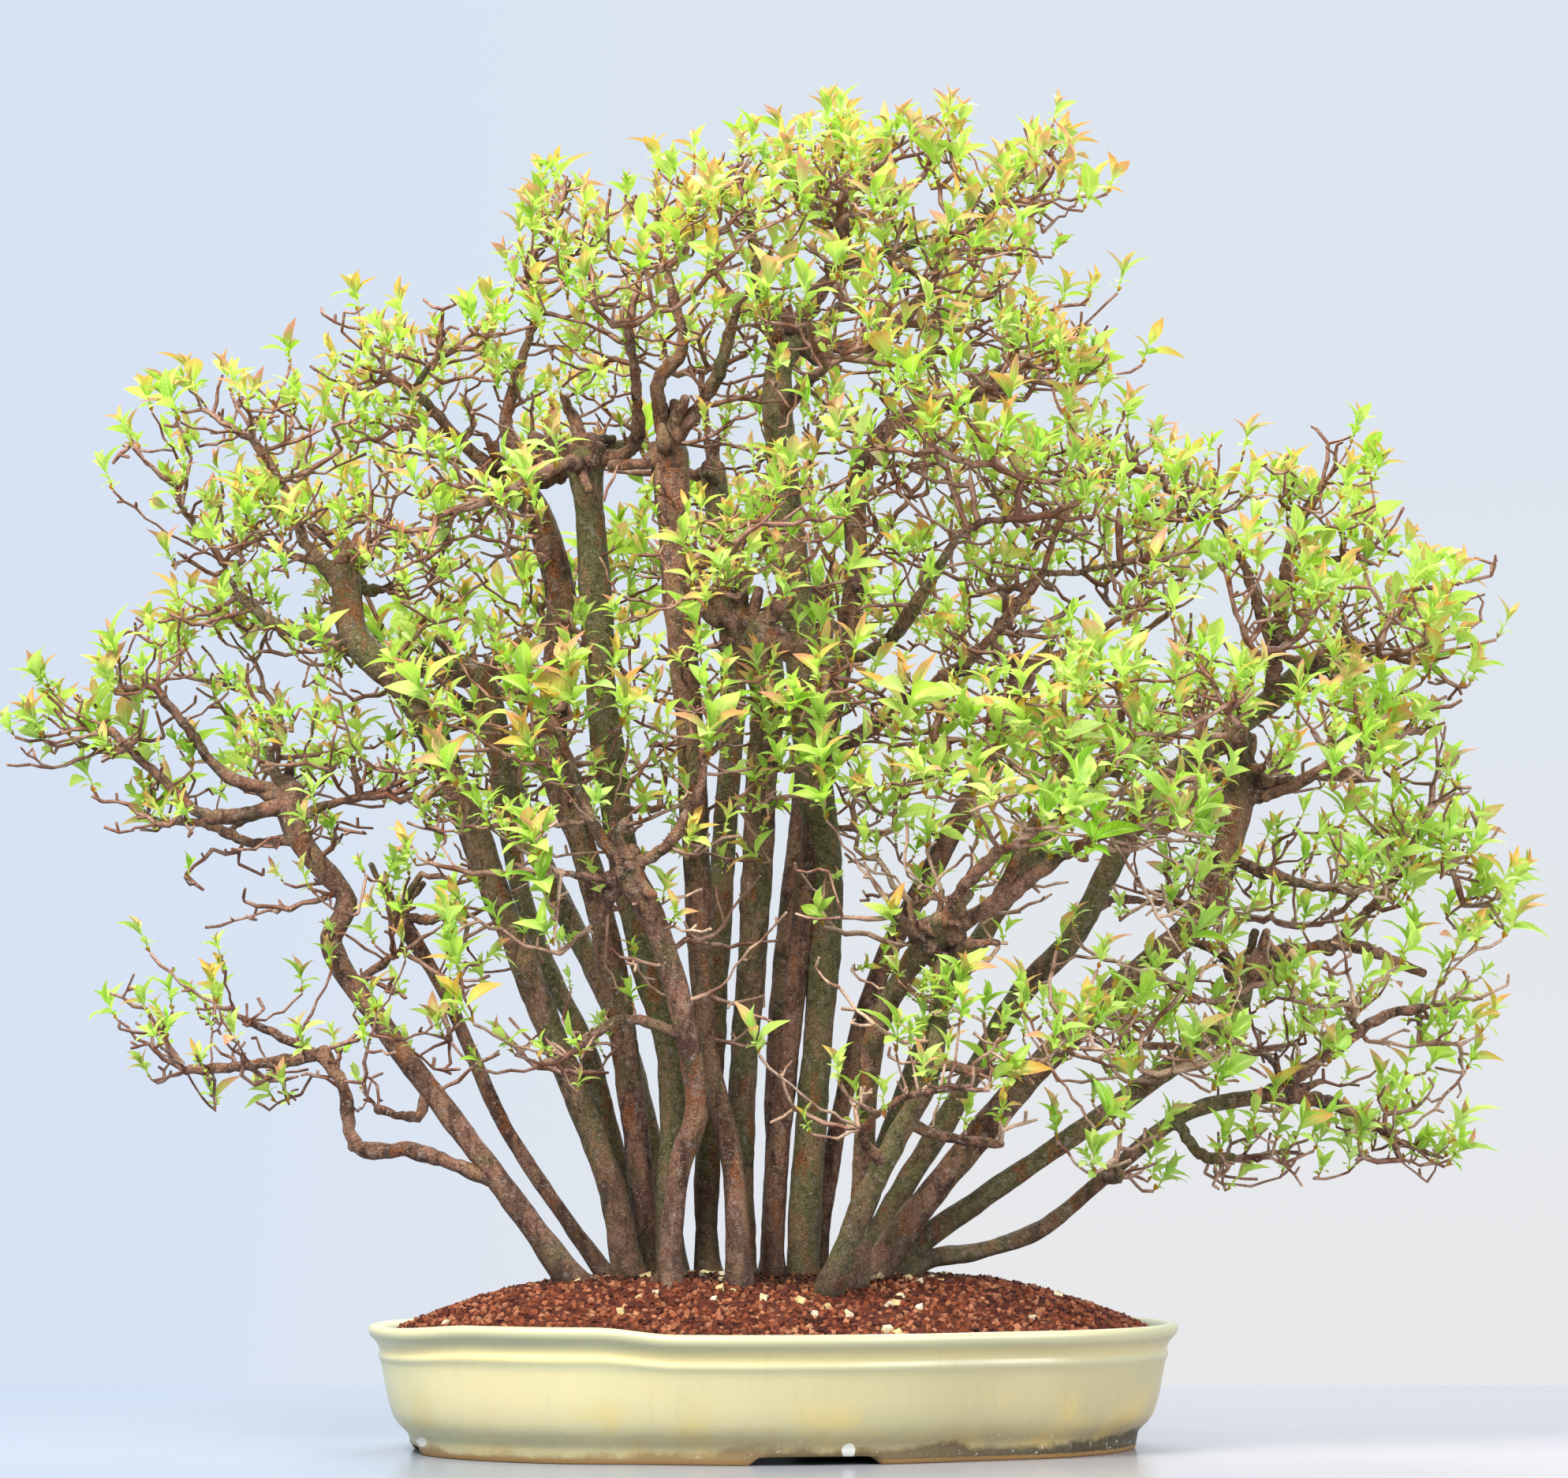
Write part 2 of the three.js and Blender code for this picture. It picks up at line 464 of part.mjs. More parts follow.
function soilSolid(cutter) {
  const [lip, wall, bend, floor] = POT_INSIDE;
  const rise = (SOIL_EDGE_HEIGHT - wall[1]) / (lip[1] - wall[1]);
  const edgeInset = lerp(wall[0], lip[0], rise) + SEAT_GAP;
  const rings = [
    potOutline(floor[0] + SEAT_GAP, floor[1] + SEAT_GAP),
    potOutline(bend[0] + SEAT_GAP, bend[1] + SEAT_GAP),
    potOutline(wall[0] + SEAT_GAP, wall[1]),
    potOutline(edgeInset, SOIL_EDGE_HEIGHT),
    ...MOUND.map(([share, height]) => potOutline(edgeInset, height, share)),
  ];
  return mainBody(skin(rings).subtract(cutter));
}

// The wood

function stationsOf(points) {
  return points.map(([x, depth, height, radius]) => ({ at: place(x, depth, height), radius }));
}

// A trunk's end is rounded off, because old cuts have healed over there.
function rounded(stations) {
  const [before, last] = stations.slice(-2);
  const ahead = last.at.clone().sub(before.at).normalize();
  const end = last.at.clone().addScaledVector(ahead, CUT_END.reach * last.radius);
  return [...stations, { at: end, radius: CUT_END.radius * last.radius }];
}

// The low swollen base that all trunks share. It stands just out of the soil.
function rootCrown(grow = 0) {
  const rings = CROWN_LEVELS.map(([share, height], level) => {
    const lift = level === 0 ? -grow : level === CROWN_LEVELS.length - 1 ? grow : 0;
    return Array.from({ length: CROWN_SIDES }, (_, k) => {
      const angle = (2 * Math.PI * k) / CROWN_SIDES;
      const x = CROWN_CENTRE[0] + (share * CROWN_HALF[0] + grow) * Math.cos(angle);
      const depth = CROWN_CENTRE[1] + (share * CROWN_HALF[1] + grow) * Math.sin(angle);
      return place(x, depth, height + lift);
    });
  });
  return skin(rings);
}

const trunkStations = Object.values(TRUNKS).map((points) => rounded(stationsOf(points)));
const branchStations = Object.values(BRANCHES).map(stationsOf);

// Points every few millimetres along the wood, where a bough may start.
const budPoints = [...trunkStations, ...branchStations].flatMap((stations) =>
  stations.slice(1).flatMap((end, i) => {
    const start = stations[i];
    const steps = Math.max(1, Math.round(start.at.distanceTo(end.at) / BUD_SPACING));
    return Array.from({ length: steps }, (_, k) => ({
      at: start.at.clone().lerp(end.at, (k + 1) / steps),
      radius: lerp(start.radius, end.radius, (k + 1) / steps),
    }));
  }),
);

// The bud nearest a clump of foliage, where one above the clump counts as farther away, and one at the
// end of a branch that carries a spray isn't free.
function nearestBud(target) {
  const tooHigh = (bud) => Math.max(0, bud.at.z - target.z + BUD_BELOW);
  const cost = (bud) => bud.at.distanceTo(target) + BUD_RISE_COST * tooHigh(bud);
  const carriers = branchStations.filter((stations) => stations.taken);
  const free = budPoints.filter((bud) =>
    carriers.every((stations) => stations.at(-1).at.distanceTo(bud.at) > BUD_FROM_SEAT),
  );
  return free.reduce((best, bud) => (cost(bud) < cost(best) ? bud : best));
}

// The clump's centre and half-extents. The half-extents stay along the tree's own axes.
function clumpOf([x, depth, height, halfX, halfY, halfZ]) {
  return { at: place(x, depth, height), half: new THREE.Vector3(halfX, halfY, halfZ) };
}

// A branch that already ends in the clump, if there is one: its last two stations carry the spray.
function branchInto(clump) {
  const target = clump.at.clone().addScaledVector(UP, -BOUGH_END * clump.half.z);
  const ends = branchStations.filter((stations) => !stations.taken);
  const reach = (stations) => stations.at(-1).at.distanceTo(target);
  const best = ends.reduce((near, stations) => (reach(stations) < reach(near) ? stations : near), ends[0]);
  if (!best || reach(best) > BRANCH_TO_CLUMP) return null;
  best.taken = true;
  return best;
}

// A bough from the nearest wood to the underside of a clump, crooked at its middle.
function boughTo(clump, random) {
  const target = clump.at.clone().addScaledVector(UP, -BOUGH_END * clump.half.z);
  const bud = nearestBud(target);
  const toTarget = target.clone().sub(bud.at);
  const reach = Math.max(BOUGH_LEAST, toTarget.length() - BOUGH_END * clump.half.x);
  const end = bud.at.clone().addScaledVector(toTarget.normalize(), reach);
  const crook = stray(random, BOUGH_CROOK * reach);
  const middle = bud.at.clone().lerp(end, 0.5).add(crook);
  const base = Math.min(BOUGH_BASE.share * bud.radius, BOUGH_BASE.most);
  return [
    { at: bud.at, radius: base },
    { at: middle, radius: (base + BOUGH_TIP_RADIUS) / 2 },
    { at: end, radius: BOUGH_TIP_RADIUS },
  ];
}

// Room for each piece. A straight stretch of wood, twig or leaf is kept as a line with a radius.
const stretches = [];

function keepStretch(from, to, radius, owner) {
  stretches.push({ from, to, radius, owner });
}

// The shortest distance between two straight lines of finite length.
function lineDistance(p1, q1, p2, q2) {
  const d1 = q1.clone().sub(p1);
  const d2 = q2.clone().sub(p2);
  const r = p1.clone().sub(p2);
  const [a, e, f, c, b] = [d1.dot(d1), d2.dot(d2), d2.dot(r), d1.dot(r), d1.dot(d2)];
  const denominator = a * e - b * b;
  let s = denominator > 1e-9 ? clamp((b * f - c * e) / denominator, 0, 1) : 0;
  const t = clamp((b * s + f) / e, 0, 1);
  s = clamp((b * t - c) / a, 0, 1);
  return p1.clone().addScaledVector(d1, s).distanceTo(p2.clone().addScaledVector(d2, t));
}

// Whether a stretch keeps clear of every piece but its own.
function isClear(from, to, radius, owner) {
  return stretches.every((other) => {
    if (other.owner === owner) return true;
    return lineDistance(from, to, other.from, other.to) > radius + other.radius + TWIG_CLEARANCE;
  });
}

// The leafy sprays

// Where the leaf on one side of a shoot's end goes: outward from that side, leaning away from the shoot.
function leafCourse(tip, along, a, b, random) {
  const side = b.clone().sub(a).normalize();
  const out = side.clone().cross(along).normalize();
  const lean = lerp(...LEAF_LEAN, random());
  const heading = along.clone().multiplyScalar(Math.cos(lean)).addScaledVector(out, Math.sin(lean));
  const length = lerp(...LEAF_LENGTH, random());
  const end = tip.clone().addScaledVector(heading, length);
  return { heading, side, length, width: length * LEAF_ASPECT, end };
}

// A leaf that grows out of the triangle a, b, hub at a shoot's end: widest below its middle, keeled
// along its rib, its tip arching over. Its points and triangles are added to the shoot's own.
function addLeaf(points, triangles, [a, b, hub], tip, course) {
  const { heading, side, length, width } = course;
  const face = heading.clone().cross(side);
  const first = points.length;
  const add = (t, across, lift) =>
    points.push(
      tip
        .clone()
        .addScaledVector(heading, t * length)
        .addScaledVector(side, across * width)
        .addScaledVector(face, lift - LEAF_ARCH * length * t * t),
    );
  LEAF_OUTLINE.forEach(([t, across]) => add(t, across, 0));
  add(1, 0, 0);
  LEAF_OUTLINE.toReversed().forEach(([t, across]) => add(t, -across, 0));
  add(LEAF_KEEL, 0, -LEAF_THICKNESS);
  const [b1, b2, end, a2, a1, under] = [0, 1, 2, 3, 4, 5].map((k) => first + k);
  const rim = [a, a1, a2, end, b2, b1, b, a];
  rim.slice(1).forEach((next, k) => triangles.push(under, next, rim[k]));
  triangles.push(hub, a, a1, hub, a1, b1, hub, b1, b, a1, a2, b2, a1, b2, b1, a2, end, b2);
}

// A shoot along its stations, three-sided, with up to three leaves round its end. A side whose leaf finds
// no free room is closed plainly, and a shoot with no leaf at all isn't grown.
function leafyShoot(stations, leaves, random, owner) {
  const rings = stemRings(stations, TWIG_SIDES);
  const [before, tip] = stations.slice(-2).map((station) => station.at);
  const along = tip.clone().sub(before).normalize();
  const points = rings.flat();
  const triangles = [...ringBands(rings.length, TWIG_SIDES), ...flatEnd(0, TWIG_SIDES, true)];
  const hub = points.length;
  points.push(tip.clone().addScaledVector(along, SHOOT_RADIUS));
  const first = hub - TWIG_SIDES;
  let grown = 0;
  for (let k = 0; k < TWIG_SIDES; k++) {
    const corner = [first + k, first + ((k + 1) % TWIG_SIDES), hub];
    let course = null;
    for (let attempt = 0; attempt < LEAF_TRIES && !course && grown < leaves; attempt++) {
      const tried = leafCourse(tip, along, points[corner[0]], points[corner[1]], random);
      const from = tip.clone().addScaledVector(tried.heading, LEAF_FOOT);
      if (isClear(from, tried.end, tried.width / 2 + LEAF_ROOM, owner)) course = tried;
    }
    if (!course) {
      triangles.push(...corner);
      continue;
    }
    keepStretch(tip, course.end, course.width / 2 + LEAF_ROOM, owner);
    addLeaf(points, triangles, corner, tip, course);
    grown++;
  }
  return grown ? solidOf(points, triangles) : null;
}

// A leafy shoot that goes on from the given stations to a free point near its aim.
function growShoot(stations, aim, leaves, random, owner) {
  const from = stations.at(-1).at;
  for (let attempt = 0; attempt < SHOOT_TRIES; attempt++) {
    const tip = aim.clone().add(stray(random, SHOOT_STRAY * attempt));
    if (!isClear(from, tip, TWIG_RADIUS, owner)) continue;
    const solid = leafyShoot([...stations, { at: tip, radius: SHOOT_RADIUS }], leaves, random, owner);
    if (!solid) continue;
    keepStretch(from, tip, TWIG_RADIUS, owner);
    return solid;
  }
  return null;
}

// Where a clump's shoots end: one points away from the middle of the tree, and the others beside it.
function shootTips(clump, random) {
  const outward = clump.at.clone().addScaledVector(UP, -TREE_HEART).normalize();
  const bearing = Math.atan2(outward.y, outward.x);
  return TUFT_LEAVES.map((_, k) => {
    const turn = bearing + k * lerp(...SHOOT_TURN, random());
    const rise = k === 0 ? outward.z : lerp(...SHOOT_RISE, random());
    const level = Math.sqrt(Math.max(0, 1 - rise * rise));
    const offset = new THREE.Vector3(
      (clump.half.x - SHOOT_MARGIN.side) * level * Math.cos(turn),
      (clump.half.y - SHOOT_MARGIN.side) * level * Math.sin(turn),
      clamp(clump.half.z * rise, SHOOT_MARGIN.foot - clump.half.z, clump.half.z - SHOOT_MARGIN.top),
    );
    return clump.at.clone().add(offset);
  });
}

// Stations of a twig between two points that stays clear of other pieces, bent if it has to be.
function twigBetween(from, to, owner, random) {
  for (let attempt = 0; attempt < TWIG_TRIES; attempt++) {
    const middle = from.clone().lerp(to, 0.5).add(stray(random, TWIG_STRAY * attempt));
    if (!isClear(from, middle, TWIG_RADIUS, owner) || !isClear(middle, to, TWIG_RADIUS, owner)) continue;
    keepStretch(from, middle, TWIG_RADIUS, owner);
    keepStretch(middle, to, TWIG_RADIUS, owner);
    return [from, middle, to].map((at, i) => ({ at, radius: i ? TWIG_RADIUS : SHOOT_RADIUS }));
  }
  return null;
}

// A whole spray: a twig seated on the end of its bough, with two leafy shoots in each of its clumps.
function spraySolid(clumps, bough, random, owner) {
  const [before, end] = bough.slice(-2);
  const ahead = end.at.clone().sub(before.at).normalize();
  const seat = { at: end.at.clone().addScaledVector(ahead, TWIG_GAP), radius: TWIG_RADIUS };
  const fork = { at: seat.at.clone().addScaledVector(ahead, TWIG_STUB), radius: TWIG_RADIUS };
  keepStretch(seat.at, fork.at, TWIG_RADIUS, owner);
  let stations = [seat, fork];
  const solids = [];
  clumps.forEach((clump, i) => {
    if (i > 0) {
      const heart = clump.at.clone().addScaledVector(UP, -TWIG_SAG * clump.half.z);
      const twig = twigBetween(stations.at(-1).at, heart, owner, random);
      if (!twig) throw new Error(owner + " has no way to its clump " + (i + 1));
      stations = twig;
    }
    const [first, second] = shootTips(clump, random);
    const root = { at: stations.at(-1).at, radius: SHOOT_RADIUS };
    const main = growShoot(stations, first, TUFT_LEAVES[0], random, owner) ?? stem(stations, TWIG_SIDES);
    const beside = growShoot([root], second, TUFT_LEAVES[1], random, owner);
    solids.push(main, ...(beside ? [beside] : []));
  });
  return mainBody(joined(solids));
}

// Materials

const finish = (color, roughness) => new THREE.MeshStandardMaterial({ color, roughness, metalness: 0 });
const glaze = finish("#dcd9a8", 0.22);
const akadama = finish("#7a4228", 0.95);
const bark = finish("#6f5a44", 0.8);
const leaf = finish("#9fcf3a", 0.5);

function meshOf(name, solid, material) {
  const { vertProperties, triVerts } = solid.getMesh();
  const geometry = new THREE.BufferGeometry();
  geometry.setAttribute("position", new THREE.BufferAttribute(vertProperties, 3));
  geometry.setIndex(new THREE.BufferAttribute(triVerts, 1));
  geometry.computeVertexNormals();
  const mesh = new THREE.Mesh(geometry, material);
  mesh.name = name;
  return mesh;
}

// The whole plant

const random = seeded(SEED);
const sprayClumps = SPRAYS.map((clumps) => clumps.map(clumpOf));
const reachingBranches = sprayClumps.map(([first]) => branchInto(first));
const carriers = reachingBranches.map((branch, i) => branch ?? boughTo(sprayClumps[i][0], random));
const boughs = carriers.filter((stations) => !stations.taken);

const woodStems = [
  ...trunkStations.map((stations) => stem(stations, TRUNK_SIDES)),
  ...branchStations.map((stations) => stem(stations, BRANCH_SIDES)),
  ...boughs.map((stations) => stem(stations, BOUGH_SIDES)),
];
const wood = mainBody(joined([rootCrown(), ...woodStems]));

[...trunkStations, ...branchStations, ...boughs].forEach((stations) =>
  stations.slice(1).forEach((end, i) => {
    keepStretch(stations[i].at, end.at, Math.max(stations[i].radius, end.radius), "wood");
  }),
);

const bonsai = new THREE.Group();
bonsai.add(meshOf("pot", potSolid(), glaze));
bonsai.add(meshOf("soil", soilSolid(rootCrown(SEAT_GAP)), akadama));
bonsai.add(meshOf("wood", wood, bark));

const foliage = new THREE.Group();
sprayClumps.forEach((clumps, i) => {
  const name = "spray_" + String(i + 1).padStart(2, "0");
  foliage.add(meshOf(name, spraySolid(clumps, carriers[i], random, name), leaf));
});
bonsai.add(foliage);

export default bonsai;
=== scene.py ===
"""The looks of a Chinese quince bonsai in the clump style, with its shallow glazed oval pot.

Every list and size is in millimetres, like the model that the scene is built around, and is turned
to metres where a mesh is made. The wood's lists are given from the tree's front and turned into the
pot's frame by place().
"""
import json
import logging
import math
import random
from dataclasses import dataclass, field
from enum import Enum
from functools import partial
from typing import Any, Callable, Iterable, Sequence

import bpy
import numpy as np
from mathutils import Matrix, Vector

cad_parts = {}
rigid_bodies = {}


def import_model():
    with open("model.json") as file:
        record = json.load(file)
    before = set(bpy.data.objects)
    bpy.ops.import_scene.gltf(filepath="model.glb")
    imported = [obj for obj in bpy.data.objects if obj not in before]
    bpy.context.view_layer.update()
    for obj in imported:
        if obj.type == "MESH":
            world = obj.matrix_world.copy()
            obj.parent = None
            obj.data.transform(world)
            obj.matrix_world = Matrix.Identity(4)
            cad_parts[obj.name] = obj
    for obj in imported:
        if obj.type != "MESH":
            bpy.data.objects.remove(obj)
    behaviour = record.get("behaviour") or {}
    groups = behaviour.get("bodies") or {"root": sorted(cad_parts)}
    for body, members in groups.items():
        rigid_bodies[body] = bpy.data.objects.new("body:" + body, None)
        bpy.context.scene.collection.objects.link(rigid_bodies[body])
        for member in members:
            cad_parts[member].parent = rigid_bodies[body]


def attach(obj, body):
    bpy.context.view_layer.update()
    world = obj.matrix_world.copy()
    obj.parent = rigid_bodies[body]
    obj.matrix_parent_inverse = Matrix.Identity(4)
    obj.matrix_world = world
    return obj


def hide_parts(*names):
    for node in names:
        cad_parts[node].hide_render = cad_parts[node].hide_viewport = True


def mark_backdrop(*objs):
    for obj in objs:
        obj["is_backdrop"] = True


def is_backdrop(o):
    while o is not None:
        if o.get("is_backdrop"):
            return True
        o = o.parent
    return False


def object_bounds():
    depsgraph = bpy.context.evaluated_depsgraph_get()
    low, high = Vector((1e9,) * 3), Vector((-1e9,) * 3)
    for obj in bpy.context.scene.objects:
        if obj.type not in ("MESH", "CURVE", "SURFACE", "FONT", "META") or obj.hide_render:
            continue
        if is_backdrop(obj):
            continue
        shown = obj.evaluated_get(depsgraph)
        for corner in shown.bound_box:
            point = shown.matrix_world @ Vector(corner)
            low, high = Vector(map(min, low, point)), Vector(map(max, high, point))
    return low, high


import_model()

LOG = logging.getLogger("bonsai")
MM = 0.001
BODY = "root"
TREE_TURN = math.radians(-9)
UP = np.array([0.0, 0.0, 1.0])

Points = np.ndarray
Faces = list[tuple[int, ...]]
Rows = Sequence[Sequence[float]]
Adder = Callable[..., bpy.types.Node]
Material, Thing, Tree = bpy.types.Material, bpy.types.Object, bpy.types.NodeTree


# Shared helpers

def place(x: float, depth: float, height: float) -> Points:
    """Turns a point given from the tree's front into the pot's frame.

    Args:
        x: Millimetres to the right.
        depth: Millimetres away from the eye.
        height: Millimetres above the table.

    Returns:
        The point in the pot's frame, in millimetres.
    """
    c, s = math.cos(TREE_TURN), math.sin(TREE_TURN)
    return np.array([c * x - s * depth, s * x + c * depth, height])


def unit(vector: Points) -> Points:
    """Returns the vector at length one."""
    return vector / (np.linalg.norm(vector) + 1e-12)


def any_way(draw: random.Random) -> Points:
    """Draws an arrow that points any way, and isn't of length one."""
    return np.array([draw.gauss(0, 1) for _ in range(3)])


def seeded(seed: int) -> Callable[[], float]:
    """Makes the number source that also draws the boughs' crooks in the part's source.

    Args:
        seed: A 32-bit seed.

    Returns:
        A function that gives the next number from 0 to 1.
    """
    state = seed

    def draw() -> float:
        nonlocal state
        state = (state + 0x6D2B79F5) & 0xFFFFFFFF
        t = ((state ^ (state >> 15)) * (1 | state)) & 0xFFFFFFFF
        t = ((t + (((t ^ (t >> 7)) * (61 | t)) & 0xFFFFFFFF)) & 0xFFFFFFFF) ^ t
        return (t ^ (t >> 14)) / 4294967296

    return draw


def linear(hex_colour: str) -> tuple[float, float, float, float]:
    """Turns an sRGB hex colour to linear red, green, blue and an alpha of one."""
    parts = [int(hex_colour.lstrip("#")[i:i + 2], 16) / 255 for i in (0, 2, 4)]
    lit = [c / 12.92 if c <= 0.04045 else ((c + 0.055) / 1.055) ** 2.4 for c in parts]
    return (lit[0], lit[1], lit[2], 1.0)


def mesh_object(name: str, points: Points, faces: Faces, edges: Sequence[tuple[int, int]] = ()) -> Thing:
    """Makes a mesh object from points in millimetres.

    Args:
        name: The object's name.
        points: An array of points, three numbers each.
        faces: Corner indices of each face, anticlockwise from outside.
        edges: Loose edges, for meshes that are only paths.

    Returns:
        The object, at the origin and linked to the scene.
    """
    mesh = bpy.data.meshes.new(name)
    mesh.from_pydata((np.asarray(points, float) * MM).tolist(), list(edges), faces)
    mesh.update()
    made = bpy.data.objects.new(name, mesh)
    bpy.context.scene.collection.objects.link(made)
    return made


def set_values(mesh: bpy.types.Mesh, name: str, values: Points, kind: str = "FLOAT") -> None:
    """Stores one value for each point of a mesh, as FLOAT, INT or FLOAT_VECTOR."""
    key = "vector" if kind == "FLOAT_VECTOR" else "value"
    dtype = np.int32 if kind == "INT" else np.float32
    mesh.attributes.new(name, kind, "POINT").data.foreach_set(key, np.asarray(values, dtype).ravel())


class Kind(Enum):
    """The kinds of node used most: a type and its settings."""

    PLUS = "ShaderNodeMath", {"operation": "ADD"}
    MINUS = "ShaderNodeMath", {"operation": "SUBTRACT"}
    TIMES = "ShaderNodeMath", {"operation": "MULTIPLY"}
    OVER = "ShaderNodeMath", {"operation": "DIVIDE"}
    LARGER = "ShaderNodeMath", {"operation": "MAXIMUM"}
    BELOW = "ShaderNodeMath", {"operation": "LESS_THAN"}
    SIZE = "ShaderNodeMath", {"operation": "ABSOLUTE"}
    SINE = "ShaderNodeMath", {"operation": "SINE"}
    ABOVE = "FunctionNodeCompare", {"operation": "GREATER_THAN"}
    DRAWN = "FunctionNodeRandomValue", {"data_type": "FLOAT"}
    RANGE = "ShaderNodeMapRange", {}
    NOISE = "ShaderNodeTexNoise", {}
    MIX = "ShaderNodeMix", {"data_type": "RGBA"}
    DARKEN = "ShaderNodeMix", {"data_type": "RGBA", "blend_type": "MULTIPLY"}
    NAMED = "GeometryNodeInputNamedAttribute", {}


def add_node(tree: Tree, kind: Kind | str, *values: Any, **settings: Any) -> bpy.types.Node:
    """Adds a node with its settings, its inputs' values and its links.

    Args:
        tree: The node tree.
        kind: One of the kinds used most, or another node's type.
        *values: What goes into its open inputs, in order, and a dictionary of the others by name or number.
            Each is a value, an sRGB hex, a socket, a node for its first open output, or a list of these.
        **settings: The node's own settings.

    Returns:
        The node.
    """
    type_name, usual = kind.value if isinstance(kind, Kind) else (kind, {})
    node = tree.nodes.new(type_name)
    for key, value in {**usual, **settings}.items():
        setattr(node, key, value)
    others = values[-1] if values and isinstance(values[-1], dict) else {}
    slots = [i for i, socket in enumerate(node.inputs) if socket.enabled]
    for key, value in [*zip(slots, (v for v in values if v is not others)), *others.items()]:
        for item in value if isinstance(value, list) else [value]:
            if isinstance(item, bpy.types.Node):
                item = next(socket for socket in item.outputs if socket.enabled)
            if isinstance(item, bpy.types.NodeSocket):
                tree.links.new(item, node.inputs[key])
            else:
                node.inputs[key].default_value = linear(item) if str(item).startswith("#") else item
    return node


def per(size_mm: float) -> float:
    """The scale of a pattern whose blotches or cells are about this many millimetres wide."""
    return 1 / (size_mm * MM)


def new_tree(name: str, sockets: Sequence[tuple[str, str, Any]]) -> tuple[Tree, Adder, Any]:
    """Starts a geometry tree with named inputs.

    Args:
        name: The tree's name.
        sockets: Name, socket type and default of each input after the geometry.

    Returns:
        The tree, what adds its nodes, and its inputs.
    """
    tree = bpy.data.node_groups.new(name, "GeometryNodeTree")
    for way in ("INPUT", "OUTPUT"):
        tree.interface.new_socket("Geometry", in_out=way, socket_type="NodeSocketGeometry")
    for label, kind, default in sockets:
        made = tree.interface.new_socket(label, in_out="INPUT", socket_type=f"NodeSocket{kind}")
        if default is not None:
            made.default_value = default
    return tree, partial(add_node, tree), add_node(tree, "NodeGroupInput").outputs


def run_tree(thing: Thing, tree: Tree, values: dict[str, Any]) -> Thing:
    """Runs a geometry tree on an object and keeps the result as its plain mesh.

    Args:
        thing: The object that carries the paths and points.
        tree: The geometry tree.
        values: The tree's inputs by name.

    Returns:
        The same object with its new mesh and no modifier.
    """
    modifier = thing.modifiers.new("made", "NODES")
    modifier.node_group = tree
    sockets = {item.name: item.identifier for item in tree.interface.items_tree if item.in_out == "INPUT"}
    for name, value in values.items():
        modifier[sockets[name]] = value
    graph = bpy.context.evaluated_depsgraph_get()
    made = bpy.data.meshes.new_from_object(
        thing.evaluated_get(graph), preserve_all_data_layers=True, depsgraph=graph)
    thing.modifiers.remove(modifier)
    old, thing.data = thing.data, made
    bpy.data.meshes.remove(old)
    made.name = thing.name
    return thing


def shade_smooth(thing: Thing) -> Thing:
    """Turns smooth shading on for every face and returns the object."""
    thing.data.polygons.foreach_set("use_smooth", [True] * len(thing.data.polygons))
    return thing


def settle(thing: Thing, slot: str, *nodes: str) -> Thing:
    """Makes a finished piece ride, hides the model's parts that it stands for, and logs it."""
    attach(thing, BODY)
    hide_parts(*nodes)
    thing.data.calc_loop_triangles()
    LOG.info("%s: %d triangles", thing.name, len(thing.data.loop_triangles))
    return thing


# Finishes

@dataclass(frozen=True)
class Finish:
    """What every finish shares: a name and a tree on the piece's own coordinates."""

    name: str

    def start(self) -> tuple[Material, Adder, Any]:
        """Makes an empty material.

        Returns:
            The material, what adds its nodes, and the Object coordinates' socket.
        """
        material = bpy.data.materials.new(self.name)
        material.use_nodes = True
        material.node_tree.nodes.clear()
        add = partial(add_node, material.node_tree)
        return material, add, add("ShaderNodeTexCoord").outputs["Object"]

    @staticmethod
    def coat(add: Adder, inputs: dict[str, Any]) -> None:
        """Gives the material its Principled surface."""
        add("ShaderNodeOutputMaterial", add("ShaderNodeBsdfPrincipled", inputs))


